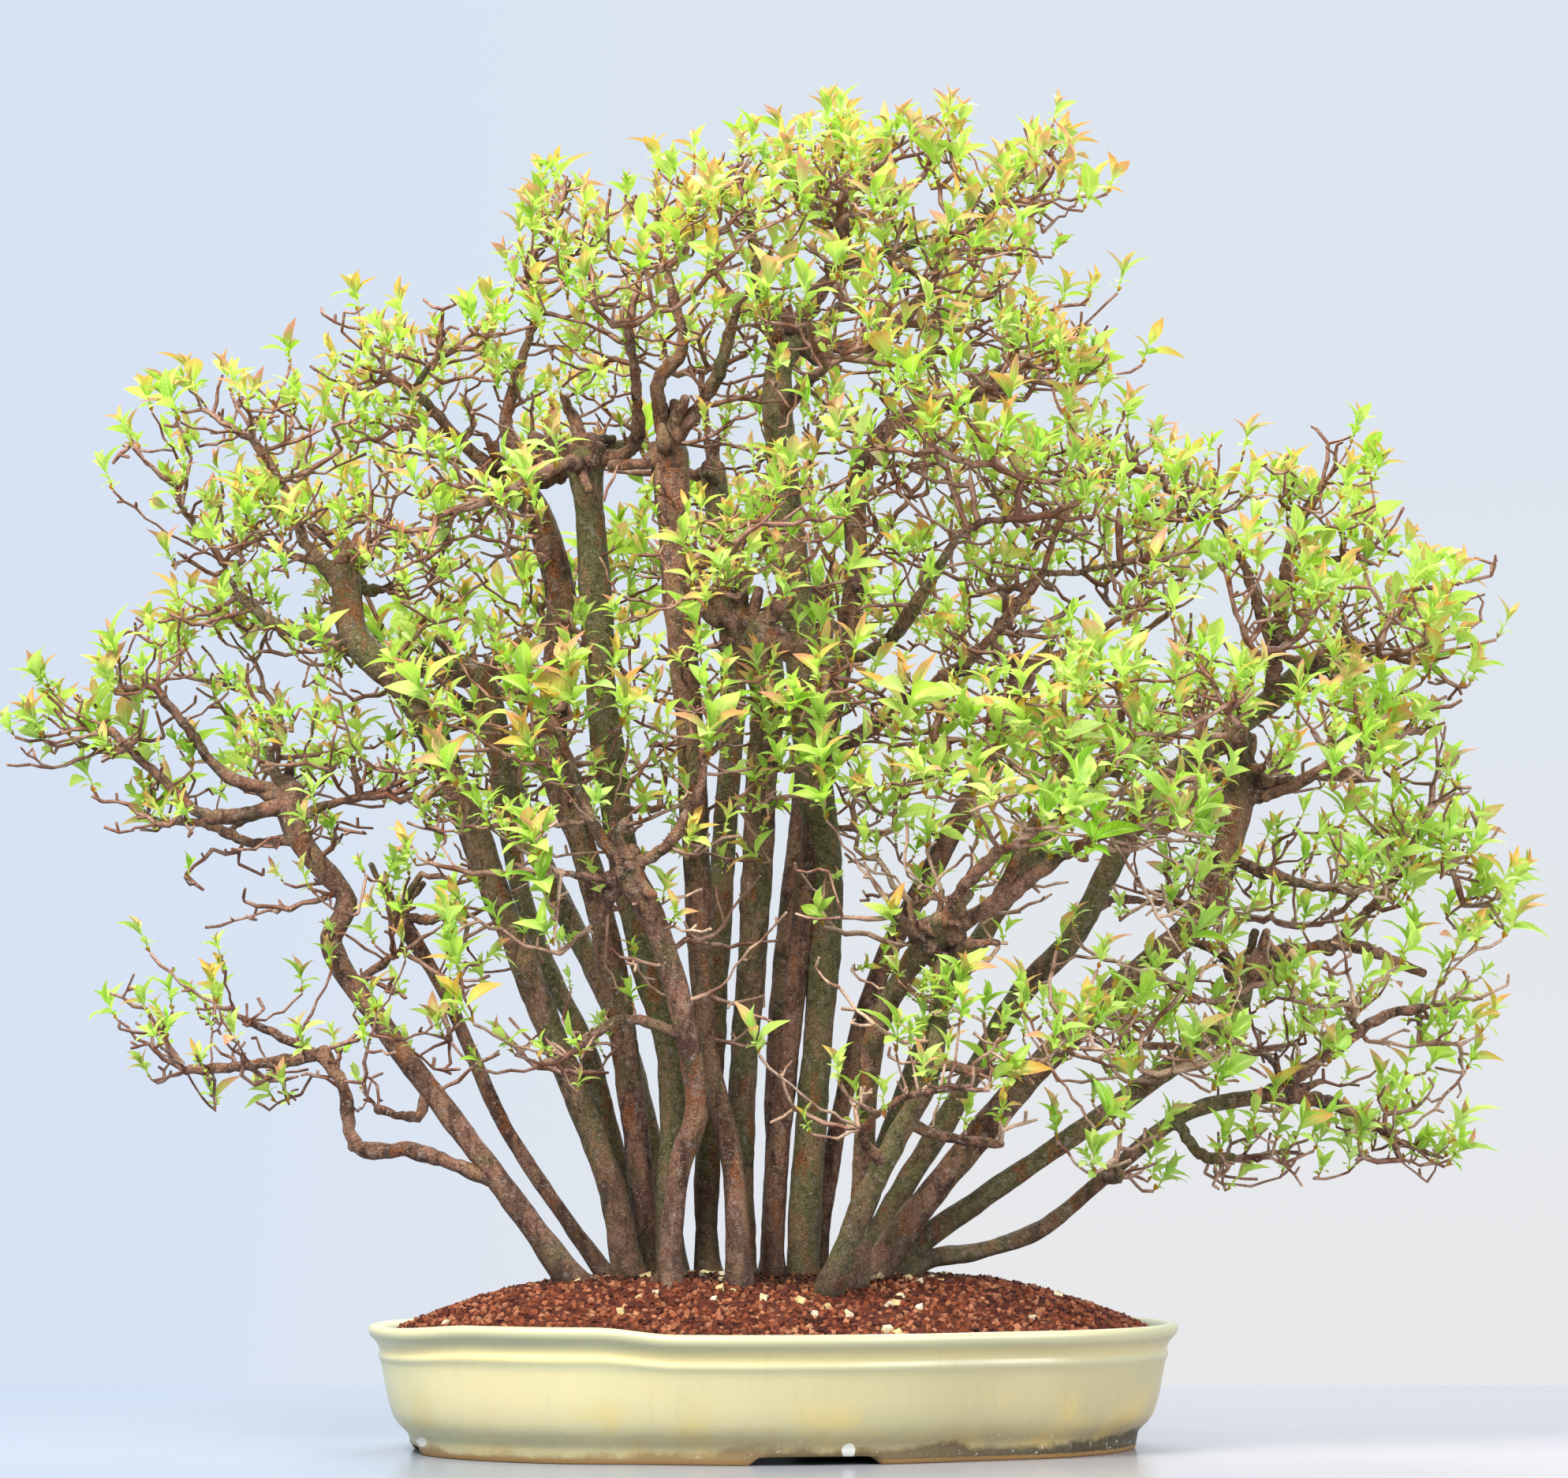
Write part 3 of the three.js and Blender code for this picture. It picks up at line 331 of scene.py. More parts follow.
@dataclass(frozen=True)
class AshGlaze(Finish):
    """Pale ash glaze fired on stoneware: glossy, with a grey patina low down and lime crusts."""

    cream: str = "#c6bd92"
    green: str = "#b9b88c"
    yellow: str = "#c2aa60"
    grey: str = "#a39b74"
    ochre: str = "#846c42"
    patina: str = "#2b2314"
    lime: str = "#d9d8cd"
    clay: str = "#94703f"
    lip_tone: str = "#acac8a"
    # Flakes of lime as big as a thumbnail: x, height, half-width and half-height.
    flakes: tuple[tuple[float, float, float, float], ...] = ((20.5, 9, 4.4, 5.0), (-238, 9, 2.5, 3.4))

    def make(self, foot: float, bead: float, lip: float) -> Material:
        """Builds the material.

        Args:
            foot: Height under which the clay is bare, in millimetres.
            bead: Height of the bead under the lip.
            lip: Height of the rolled lip's lower edge.

        Returns:
            The material.
        """
        material, add, at = self.start()
        parts = add("ShaderNodeSeparateXYZ", at)
        x, height = parts.outputs[0], parts.outputs[2]
        cloud = add(Kind.NOISE, at, per(70), 3)
        streak_at = add("ShaderNodeMapping", at, {"Scale": (1, 1, 0.16)})
        streaks = add(Kind.NOISE, streak_at, per(9), 4, 0.6)
        fine = add(Kind.NOISE, at, per(2.2), 3, 0.6)
        side = add(Kind.RANGE, x, -200 * MM, 250 * MM)
        tone = add(Kind.MIX, add(Kind.RANGE, cloud, 0.35, 0.65), self.cream, self.green)
        tone = add(Kind.MIX, add(Kind.RANGE, x, -240 * MM, 110 * MM), tone, self.grey)
        # The glaze pools yellow under the lip and in soft patches low down. The pool under the lip,
        # strongest to the left, is also lighter than the glaze round it: painted light that lifts the shade
        # under the rolled lip.
        pool_and_painted_light = add(Kind.TIMES, add(Kind.RANGE, height, (bead + 1) * MM, (bead + 4) * MM, 0, 0.42),
                   add(Kind.RANGE, height, (lip + 3) * MM, (lip - 3) * MM))
        pool_and_painted_light = add(Kind.TIMES, pool_and_painted_light, add(Kind.RANGE, x, 0, 160 * MM, 1, 0.3))
        tone = add(Kind.MIX, pool_and_painted_light, tone, "#d6c484")
        thin = add(Kind.TIMES, add(Kind.RANGE, height, (bead - 4) * MM, (bead - 1) * MM, 0, 0.55),
                   add(Kind.RANGE, height, (bead + 4) * MM, (bead + 1) * MM))
        tone = add(Kind.MIX, thin, tone, self.lip_tone)
        patches = add(Kind.TIMES, add(Kind.RANGE, add(Kind.NOISE, at, per(38), 3), 0.46, 0.66, 0, 0.7),
                      add(Kind.RANGE, height, 48 * MM, 22 * MM))
        tone = add(Kind.MIX, patches, tone, self.yellow)
        tone = add(Kind.MIX, add(Kind.RANGE, streaks, 0.58, 0.76, 0, 0.14), tone, self.ochre)
        # Patina: a band round the foot with a torn upper edge, wider and darker to the right.
        edge = add(Kind.PLUS, height,
                   add(Kind.TIMES, add(Kind.MINUS, 0.5, add(Kind.NOISE, at, per(24), 4, 0.65)), 18 * MM))
        edge = add(Kind.PLUS, edge,
                   add(Kind.TIMES, add(Kind.MINUS, add(Kind.NOISE, at, per(110), 1), 0.5), 20 * MM))
        edge = add(Kind.MINUS, edge, add(Kind.RANGE, x, -120 * MM, 200 * MM, -4.5 * MM, 3 * MM))
        low = add(Kind.RANGE, edge, 12 * MM, 7.5 * MM)
        dirt = add(Kind.MIX, add(Kind.RANGE, side, 0.3, 0.8), self.ochre, self.patina)
        dirt = add(Kind.MIX, add(Kind.RANGE, add(Kind.NOISE, at, per(5), 4, 0.7), 0.45, 0.7, 0, 0.35), dirt,
                   "#6e6448")
        tone = add(Kind.MIX, add(Kind.RANGE, edge, 26 * MM, 9 * MM, 0, 0.45), tone, self.ochre)
        tone = add(Kind.MIX, add(Kind.TIMES, low, 0.92), tone, dirt)
        tone = add(Kind.MIX, add(Kind.RANGE, height, (lip - 1) * MM, (lip + 3) * MM, 0, 0.7), tone,
                   self.lip_tone)
        # Lime crusts: fine torn spots, most of them in the patina to the right.
        crust = add(Kind.NOISE, at, per(3.2), 5, 0.7)
        limit = add(Kind.MINUS, add(Kind.RANGE, height, 16 * MM, 30 * MM, 0.67, 0.83),
                    add(Kind.TIMES, side, 0.05))
        crusts = add(Kind.RANGE, add(Kind.MINUS, crust, limit), 0, 0.03)
        for middle, level, wide, tall in self.flakes:
            u = add(Kind.OVER, add(Kind.MINUS, x, middle * MM), wide * MM)
            v = add(Kind.OVER, add(Kind.MINUS, height, level * MM), tall * MM)
            off = add(Kind.PLUS, add(Kind.TIMES, u, u), add(Kind.TIMES, v, v))
            off = add(Kind.PLUS, off, add(Kind.TIMES, fine, 0.5))
            front = add(Kind.BELOW, parts.outputs[1], 0.0)
            flake = add(Kind.TIMES, add(Kind.RANGE, off, 1.3, 1.15), front)
            crusts = add(Kind.LARGER, crusts, flake)
        tone = add(Kind.MIX, crusts, tone, self.lime)
        pits = add(Kind.RANGE, add(Kind.NOISE, at, per(1.6), 1), 0.78, 0.82)
        tone = add(Kind.MIX, pits, tone, "#57503c")
        bare_edge = add(Kind.PLUS, height, add(Kind.TIMES, fine, 2.4 * MM))
        bare = add(Kind.RANGE, bare_edge, (foot + 2.6) * MM, (foot + 1.8) * MM)
        tone = add(Kind.MIX, bare, tone, self.clay)
        dull = add(Kind.LARGER, add(Kind.LARGER, crusts, bare), add(Kind.TIMES, low, 0.5))
        rough = add(Kind.PLUS, add(Kind.RANGE, fine, 0.3, 0.7, 0.27, 0.37), add(Kind.TIMES, dull, 0.45))
        relief = add(Kind.PLUS, add(Kind.TIMES, cloud, 2.0), add(Kind.TIMES, crusts, 0.6))
        bump = add("ShaderNodeBump", {"Height": relief, "Strength": 0.35, "Distance": 0.6 * MM})
        self.coat(add, {"Base Color": tone, "Roughness": rough, "Normal": bump, "IOR": 1.52})
        return material


@dataclass(frozen=True)
class FiredClayGrains(Finish):
    """Soft fired clay broken to grains: dull, dusty, red-brown, with pale pumice among them."""

    tones: tuple[tuple[float, str], ...] = (
        (0.0, "#3a1c16"), (0.25, "#5e2e20"), (0.5, "#7c4028"), (0.68, "#90563a"), (0.84, "#a67052"),
        (0.90, "#c0996c"), (0.95, "#cbb884"), (1.0, "#d8d2b8"),
    )

    def make(self) -> Material:
        """Builds the material, which reads each grain's own tint."""
        material, add, at = self.start()
        tint = add("ShaderNodeAttribute", attribute_name="tint").outputs["Fac"]
        tone = add("ShaderNodeValToRGB", {"Fac": tint})
        elements = tone.color_ramp.elements
        while len(elements) < len(self.tones):
            elements.new(1.0)
        for element, (position, colour) in zip(elements, self.tones):
            element.position = position
            element.color = linear(colour)
        dust = add(Kind.NOISE, at, per(1.5), 3, 0.7)
        tone = add(Kind.DARKEN, add(Kind.RANGE, dust, 0.3, 0.75, 0.0, 0.5), tone, "#3e2214")
        # Darker between the trunks' feet: partly dark rotted litter, partly painted shade where the crowded
        # trunks shade the soil.
        parts = add("ShaderNodeSeparateXYZ", at)
        wide = add(Kind.OVER, parts.outputs[0], 165 * MM)
        deep = add(Kind.OVER, add(Kind.MINUS, parts.outputs[1], 8 * MM), 62 * MM)
        away = add(Kind.PLUS, add(Kind.TIMES, wide, wide), add(Kind.TIMES, deep, deep))
        litter_and_shade = add(Kind.TIMES, add(Kind.RANGE, away, 1.25, 0.6, 0.0, 0.9),
                     add(Kind.RANGE, add(Kind.NOISE, at, per(9), 4, 0.7), 0.36, 0.5))
        tone = add(Kind.MIX, add(Kind.TIMES, litter_and_shade, add(Kind.BELOW, tint, 0.93)), tone, "#20160f")
        bump = add("ShaderNodeBump", {"Height": dust, "Strength": 0.8, "Distance": 0.5 * MM})
        self.coat(add, {"Base Color": tone, "Normal": bump, "Roughness": 0.92, "Specular IOR Level": 0.2})
        return material


@dataclass(frozen=True)
class QuinceBark(Finish):
    """Smooth flaking bark: brown, olive and dark stems with tan scars, darker and greener low down, where
    the darkening at the foot is partly painted shade.
    """

    brown: str = "#8c6450"
    dark: str = "#4e3022"
    olive: str = "#666a3c"
    tan: str = "#b48c66"
    rust: str = "#a4602e"
    grey: str = "#9d8e86"

    def make(self) -> Material:
        """Builds the material, which reads each stem's own tone. Its stains run along the stem."""
        material, add, at = self.start()
        stem_tone = add("ShaderNodeAttribute", attribute_name="tone").outputs["Fac"]
        height = add("ShaderNodeSeparateXYZ", at).outputs[2]
        long_way = add("ShaderNodeMapping", at, {"Scale": (1, 1, 0.3)})
        stains = add(Kind.NOISE, long_way, per(12), 5, 0.65)
        cloud = add(Kind.NOISE, at, per(34), 3)
        rough_spots = add(Kind.NOISE, at, per(4.5), 4, 0.75)
        fine = add(Kind.NOISE, at, per(1.6), 4, 0.75)
        tone = add(Kind.MIX, add(Kind.RANGE, stains, 0.42, 0.56), self.dark, self.brown)
        green_share = add(Kind.PLUS, add(Kind.MINUS, stem_tone, 0.5), cloud)
        tone = add(Kind.MIX, add(Kind.RANGE, green_share, 0.38, 0.64, 0.0, 0.75), tone, self.olive)
        # Old bark comes off in flakes and leaves sharp-edged paler scars.
        flakes_at = add("ShaderNodeMapping", at, {"Scale": (1, 1, 0.35)})
        plates = add("ShaderNodeTexVoronoi", flakes_at, {"Scale": per(8)})
        pick = add("ShaderNodeSeparateColor", plates.outputs["Color"])
        scar = add(Kind.TIMES, add(Kind.RANGE, pick.outputs[0], 0.73, 0.75),
                   add(Kind.RANGE, rough_spots, 0.44, 0.52, 0.0, 0.7))
        tone = add(Kind.MIX, scar, tone,
                   add(Kind.MIX, add(Kind.RANGE, pick.outputs[1], 0.7, 0.72), self.tan, self.rust))
        tone = add(Kind.MIX, add(Kind.RANGE, add(Kind.NOISE, at, per(6), 4, 0.75), 0.54, 0.64, 0.0, 0.55),
                   tone, self.grey)
        tone = add(Kind.DARKEN, add(Kind.RANGE, rough_spots, 0.5, 0.6, 0.0, 0.55), tone, "#4c4038")
        tone = add(Kind.DARKEN, add(Kind.RANGE, fine, 0.42, 0.64, 0.0, 0.6), tone, "#4a4036")
        dots_at = add("ShaderNodeMapping", at, {"Scale": (1, 1, 2.0)})
        dots = add(Kind.RANGE, add(Kind.NOISE, dots_at, per(2.2), 1), 0.66, 0.72)
        tone = add(Kind.MIX, add(Kind.TIMES, dots, 0.45), tone, "#c4b49c")
        # Darker at the foot: partly the bark's own darker colour low down, partly painted shade among the
        # crowded trunk bases.
        foot = add(Kind.PLUS, height, add(Kind.TIMES, cloud, 60 * MM))
        tone = add(Kind.MIX, add(Kind.RANGE, foot, 220 * MM, 115 * MM, 0.0, 0.6), tone, "#3a3026")
        relief = add(Kind.PLUS, add(Kind.TIMES, scar, -0.8),
                     add(Kind.PLUS, fine, add(Kind.TIMES, add(Kind.PLUS, stains, rough_spots), 0.8)))
        bump = add("ShaderNodeBump", {"Height": relief, "Strength": 0.9, "Distance": 1.5 * MM})
        rough = add(Kind.RANGE, fine, 0.3, 0.7, 0.6, 0.8)
        self.coat(add, {"Base Color": tone, "Normal": bump, "Roughness": rough, "Specular IOR Level": 0.35})
        return material


@dataclass(frozen=True)
class TwigBark(Finish):
    """Thin young bark: red-brown, with a grey skin that peels, and paler at the tree's low front, painted
    light where the lamps fall on the outer twigs.
    """

    def make(self) -> Material:
        """Builds the material."""
        material, add, at = self.start()
        skin = add(Kind.NOISE, at, per(12), 3)
        fine = add(Kind.NOISE, at, per(1.4), 3, 0.6)
        tone = add(Kind.MIX, add(Kind.RANGE, skin, 0.42, 0.64), "#6c3e28", "#9a7866")
        parts = add("ShaderNodeSeparateXYZ", at)
        # Twigs at the tree's low front are mixed paler: painted light standing in for the lamps falling on
        # the outer twigs.
        painted_light_front = add(Kind.TIMES, add(Kind.RANGE, parts.outputs[1], -30 * MM, -130 * MM, 0.0, 0.8),
                       add(Kind.RANGE, parts.outputs[2], 480 * MM, 380 * MM))
        painted_light_front = add(Kind.TIMES, painted_light_front, add(Kind.RANGE, add(Kind.NOISE, at, per(26), 2), 0.42, 0.56))
        tone = add(Kind.MIX, painted_light_front, tone, "#c8aa90")
        tone = add(Kind.DARKEN, add(Kind.RANGE, fine, 0.42, 0.66, 0.0, 0.6), tone, "#4a342c")
        self.coat(add, {"Base Color": tone, "Roughness": 0.62})
        return material


@dataclass(frozen=True)
class YoungLeaf(Finish):
    """Young leaf blades: satin, lit through, yellow-green, flushed orange at the tips of the newest."""

    shade: str = "#76ba00"
    lit: str = "#cee878"
    sage: str = "#a2bd8a"
    pink: str = "#cc8672"
    orange: str = "#d49a48"
    rib: str = "#dcef9a"
    lit_through: str = "#b6de1c"
    scale_brown: str = "#b0642c"
    see_through: float = 0.46

    def make(self) -> Material:
        """Builds the material, which reads each blade's own along, across, tint and flush values."""
        material, add, at = self.start()
        along, across, tint, flush, brown = (
            add("ShaderNodeAttribute", attribute_name=name).outputs["Fac"]
            for name in ("along", "across", "tint", "flush", "brown"))
        cloud = add(Kind.NOISE, at, per(9), 2)
        mixed = add(Kind.PLUS, add(Kind.TIMES, tint, 0.8), add(Kind.TIMES, cloud, 0.3))
        tone = add(Kind.MIX, mixed, self.shade, self.lit)
        tone = add(Kind.MIX, add(Kind.RANGE, add(Kind.NOISE, at, per(45), 1), 0.5, 0.64, 0.0, 0.3), tone,
                   self.sage)
        side = add(Kind.SIZE, across)
        veins = add(Kind.SINE, add(Kind.TIMES, add(Kind.MINUS, along, add(Kind.TIMES, side, 0.16)), 62.0))
        tone = add(Kind.MIX, add(Kind.RANGE, veins, 0.4, 1.0, 0.0, 0.22), tone, self.rib)
        tone = add(Kind.MIX, add(Kind.RANGE, side, 0.12, 0.04, 0.0, 0.7), tone, self.rib)
        tip = add(Kind.RANGE, add(Kind.PLUS, along, add(Kind.TIMES, side, 0.25)), 0.15, 0.85)
        warm = add(Kind.MIX, add(Kind.RANGE, add(Kind.NOISE, at, per(60), 1), 0.4, 0.6), self.pink,
                   self.orange)
        tone = add(Kind.MIX, add(Kind.TIMES, tip, flush), tone, warm)
        tone = add(Kind.MIX, brown, tone, self.scale_brown)
        bump = add("ShaderNodeBump", {"Height": veins, "Strength": 0.25, "Distance": 0.25 * MM})
        satin = add("ShaderNodeBsdfPrincipled",
                    {"Base Color": tone, "Normal": bump, "Roughness": 0.42, "Specular IOR Level": 0.22,
                     "Sheen Weight": 0.08, "Sheen Roughness": 0.5})
        warmer = add(Kind.MINUS, 0.5, add(Kind.TIMES, flush, 0.5))
        thin = add("ShaderNodeBsdfTranslucent", add(Kind.MIX, warmer, tone, self.lit_through))
        mix = add("ShaderNodeMixShader", self.see_through, satin, thin)
        add("ShaderNodeOutputMaterial", mix)
        return material


@dataclass(frozen=True)
class PolishedTable(Finish):
    """Pale polished table top, which mirrors the pot softly."""

    def make(self) -> Material:
        """Builds the material."""
        material, add, at = self.start()
        x = add("ShaderNodeSeparateXYZ", at).outputs[0]
        tone = add(Kind.MIX, add(Kind.RANGE, x, -0.3, 0.4), "#86919f", "#a09da1")
        self.coat(add, {"Base Color": tone, "Roughness": 0.2, "Specular IOR Level": 0.22})
        return material


# The pot and its soil

@dataclass
class OvalPot:
    """The shallow oval pot with four shallow notches between its lobes."""

    length: float = 540
    width: float = 390
    height: float = 83
    facets: int = 240
    lobe_angles: tuple[float, ...] = (65, 115, 245, 295)
    notch: float = 7.5
    notch_width: float = 11
    oval_power: float = 0.93
    rim_warp: float = 4.2
    gate_long: float = 83
    gate_short: float = 60
    gate_height: float = 5.5
    # Inset from the rim's outline and height, from under the foot, up the outside and down the inside.
    profile: tuple[tuple[float, float], ...] = (
        (43, 9), (42, 5.8), (41.4, 1), (40.6, 0), (30, 0), (28.8, 0.9), (28, 5), (27.4, 9), (26.6, 11.6),
        (24.2, 14.2), (20.6, 17.6), (17.6, 21.6), (15.4, 26.6), (13.6, 32.6), (12.0, 39.6), (10.8, 46.6),
        (10.0, 50.6), (9.4, 54.4), (8.6, 57.6), (7.8, 59.8), (7.0, 61.2), (6.7, 62.4), (6.8, 63.6),
        (7.3, 64.8), (7.5, 66.2), (7.0, 68.4), (5.6, 71), (3.6, 73.4), (1.9, 75), (0.8, 76.6), (0.2, 78.2),
        (0, 79.6), (0.5, 81.2), (1.7, 82.4), (3.5, 83), (5.8, 82.9), (8.2, 82.3), (10.4, 81), (12, 79),
        (12.8, 76), (14.6, 68), (17.5, 56), (21, 41), (25, 28), (30, 21), (37, 18),
    )

    def outline(self, inset: float, height: float, share: float = 1.0, facets: int = 0) -> Points:
        """The pot's outline at one height.

        Args:
            inset: Millimetres inside the rim's outline.
            height: Millimetres above the table.
            share: The share of the way out from the middle.
            facets: How many points, or the pot's own number.

        Returns:
            A closed ring of points.
        """
        degrees = np.linspace(0, 360, facets or self.facets, endpoint=False)
        notch = sum(self.notch * np.exp(-((degrees - at) / self.notch_width) ** 2)
                    for at in self.lobe_angles)
        c, s = np.cos(np.radians(degrees)), np.sin(np.radians(degrees))
        x = (self.length / 2 - inset - notch) * np.sign(c) * np.abs(c) ** self.oval_power
        y = (self.width / 2 - inset - notch) * np.sign(s) * np.abs(s) ** self.oval_power
        return np.column_stack([x * share, y * share, np.full(len(x), float(height))])

    def rim_rise(self, ring: Points) -> Points:
        """How far each point of a ring is raised, where the rim warped in the kiln over one lobe."""
        rise = np.clip((-91 - ring[:, 0]) / 50, 0, 1) * np.clip((ring[:, 0] + 264) / 50, 0, 1)
        rise = rise * rise * (3 - 2 * rise) * np.clip(-ring[:, 1] / 60, 0, 1)
        return self.rim_warp * rise * np.clip((ring[:, 2] - 40) / 24, 0, 1)

    def gate_lift(self, ring: Points) -> Points:
        """How far the foot is cut away at each point of a ring, with rounded ends to the gates."""
        ends = 8.0
        front = np.clip((self.gate_long / 2 - np.abs(ring[:, 0])) / ends, 0, 1)
        sides = np.clip((self.gate_short / 2 - np.abs(ring[:, 1])) / ends, 0, 1)
        front = np.where(np.abs(ring[:, 1]) > 60, front, 0)
        sides = np.where(np.abs(ring[:, 0]) > 100, sides, 0)
        open_share = np.maximum(front, sides)
        return self.gate_height * np.sqrt(1 - (1 - open_share) ** 2)

    def build(self, glaze: Material) -> Thing:
        """Builds the pot as one closed turned shell.

        Args:
            glaze: The pot's material.

        Returns:
            The finished pot.
        """
        rings = []
        for inset, height in self.profile:
            ring = self.outline(inset, height)
            if height < self.gate_height and inset > 20:
                ring[:, 2] = np.maximum(ring[:, 2], self.gate_lift(ring))
            ring[:, 2] += self.rim_rise(ring)
            rings.append(ring)
        faces = ring_faces(len(rings), self.facets)
        count = self.facets
        faces.append(tuple(reversed(range(count))))
        faces.append(tuple(range((len(rings) - 1) * count, len(rings) * count)))
        made = shade_smooth(mesh_object("pot_glazed", np.vstack(rings), faces))
        made.data.materials.append(glaze)
        return settle(made, "pot_glaze", "pot")


def ring_faces(rings: int, count: int) -> Faces:
    """The four-sided faces between neighbouring rings of equal count, facing outwards."""
    faces = []
    for r in range(rings - 1):
        for i in range(count):
            j = (i + 1) % count
            faces.append((r * count + i, r * count + j, (r + 1) * count + j, (r + 1) * count + i))
    return faces


@dataclass
class SoilBed:
    """The mound of soil: one closed body with loose grains lying all over it."""

    pot: OvalPot
    edge_inset: float = 14.4
    facets: int = 120
    # Share of the way out to the wall and height of the mound there.
    mound: tuple[tuple[float, float], ...] = (
        (1.0, 75), (0.97, 80.5), (0.9, 87.5), (0.8, 96.6), (0.7, 104.2), (0.57, 110.6), (0.42, 113.2),
        (0.28, 114), (0.14, 114.4),
    )
    front_fall: float = 0.42
    spacing: float = 3.5
    grain: float = 5.2
    grain_kinds: int = 5
    seed: int = 11

    def grain_shapes(self) -> bpy.types.Collection:
        """Makes a few angular crumbs with twelve faces each, of one millimetre's radius, to scatter."""
        draw = random.Random(self.seed)
        shapes = bpy.data.collections.new("grain_shapes")
        corners = [(x, y, z) for z in (-1, 1) for y in (-1, 1) for x in (-1, 1)]
        faces = [(0, 2, 3, 1), (4, 5, 7, 6), (0, 1, 5, 4), (1, 3, 7, 5), (3, 2, 6, 7), (2, 0, 4, 6)]
        for kind in range(self.grain_kinds):
            stretch = np.array([draw.uniform(0.85, 1.25), draw.uniform(0.8, 1.1), draw.uniform(0.65, 0.95)])
            points = np.array([unit(np.array(c)) * draw.uniform(0.75, 1.25) for c in corners]) * stretch
            made = mesh_object(f"crumb_{kind}", points, faces)
            shapes.objects.link(made)
            bpy.context.scene.collection.objects.unlink(made)
        return shapes

    def tree(self) -> Tree:
        """Makes the tree that scatters the grains over the upward faces and keeps the body below."""
        tree, add, given = new_tree("SoilGrains", [
            ("Spacing", "Float", 0.0035), ("Grain Size", "Float", 0.0043),
            ("Crumbs", "Collection", None), ("Soil", "Material", None),
            ("Seed", "Int", 11),
        ])
        normal = add("GeometryNodeInputNormal")
        upward = add("ShaderNodeSeparateXYZ", normal).outputs[2]
        top = add(Kind.ABOVE, upward, 0.3)
        density = add(Kind.OVER, 4.0, add(Kind.TIMES, given["Spacing"], given["Spacing"]))
        scatter = add("GeometryNodeDistributePointsOnFaces", given["Geometry"],
                      {"Selection": top, "Distance Min": given["Spacing"], "Density Max": density,
                       "Seed": given["Seed"]}, distribute_method="POISSON")
        turn = add("FunctionNodeRandomValue", (0, 0, 0), (6.28, 6.28, 6.28), {"Seed": given["Seed"]},
                   data_type="FLOAT_VECTOR")
        size = add(Kind.DRAWN, 0.34, 0.66, {"Seed": 3})
        scale = add(Kind.TIMES, size, add(Kind.OVER, given["Grain Size"], MM))
        # Pale pumice is rare but coarser, and less rare near the trunks.
        chance = add(Kind.DRAWN, 0.0, 1.0, {"Seed": 8})
        away = add("ShaderNodeVectorMath", add("GeometryNodeInputPosition"), operation="LENGTH")
        limit = add(Kind.RANGE, away, 0.12, 0.19, 0.955, 0.996)
        is_pale = add(Kind.ABOVE, chance, limit)
        scale = add(Kind.TIMES, scale, add(Kind.PLUS, 1.0, add(Kind.TIMES, is_pale, 0.6)))
        crumbs = add("GeometryNodeCollectionInfo", given["Crumbs"],
                     {"Separate Children": True, "Reset Children": True})
        grains = add("GeometryNodeInstanceOnPoints", scatter,
                     {"Instance": crumbs, "Pick Instance": True, "Rotation": turn, "Scale": scale})
        shade = add(Kind.DRAWN, 0.0, 0.86, {"Seed": 7})
        pale = add(Kind.DRAWN, 0.93, 1.0, {"Seed": 9})
        tint = add("GeometryNodeSwitch", is_pale, shade, pale, input_type="FLOAT")
        tinted = add("GeometryNodeStoreNamedAttribute", grains, {"Name": "tint", "Value": tint},
                     domain="INSTANCE", data_type="FLOAT")
        joined = add("GeometryNodeJoinGeometry", [tinted, given["Geometry"]])
        real = add("GeometryNodeRealizeInstances", joined)
        dressed = add("GeometryNodeSetMaterial", real, {"Material": given["Soil"]})
        add("NodeGroupOutput", dressed)
        return tree

    def build(self, soil: Material) -> Thing:
        """Builds the mound and its grains as one piece.

        Args:
            soil: The grains' material.

        Returns:
            The finished soil.
        """
        draw = np.random.default_rng(self.seed)
        body = [(37.4, 18.4), (25.4, 28.4), (17.9, 56)]
        rings = [self.pot.outline(inset, height, facets=self.facets) for inset, height in body]
        shares, heights = np.array(self.mound)[::-1].T
        for share, height in self.mound:
            ring = self.pot.outline(self.edge_inset, height, share, self.facets)
            front = np.maximum(0, -ring[:, 1] / np.linalg.norm(ring[:, :2], axis=1)) ** 1.5
            further = share + self.front_fall * math.sqrt(1 - share) * front
            uneven = draw.uniform(-0.8, 0.8, len(ring)) * (share < 0.99)
            ring[:, 2] = np.interp(further, shares, heights) + uneven
            rings.append(ring)
        faces = ring_faces(len(rings), self.facets)
        count = self.facets
        faces.append(tuple(reversed(range(count))))
        last = (len(rings) - 1) * count
        points = np.vstack([*rings, [[0, 0, 114.6]]])
        faces += [(last + i, last + (i + 1) % count, len(points) - 1) for i in range(count)]
        made = mesh_object("soil_grains", points, faces)
        set_values(made.data, "tint", np.full(len(points), 0.12))
        run_tree(made, self.tree(), {
            "Spacing": self.spacing * MM, "Grain Size": self.grain * MM, "Crumbs": self.grain_shapes(),
            "Soil": soil, "Seed": self.seed,
        })
        return settle(made, "soil", "soil")


# The wood

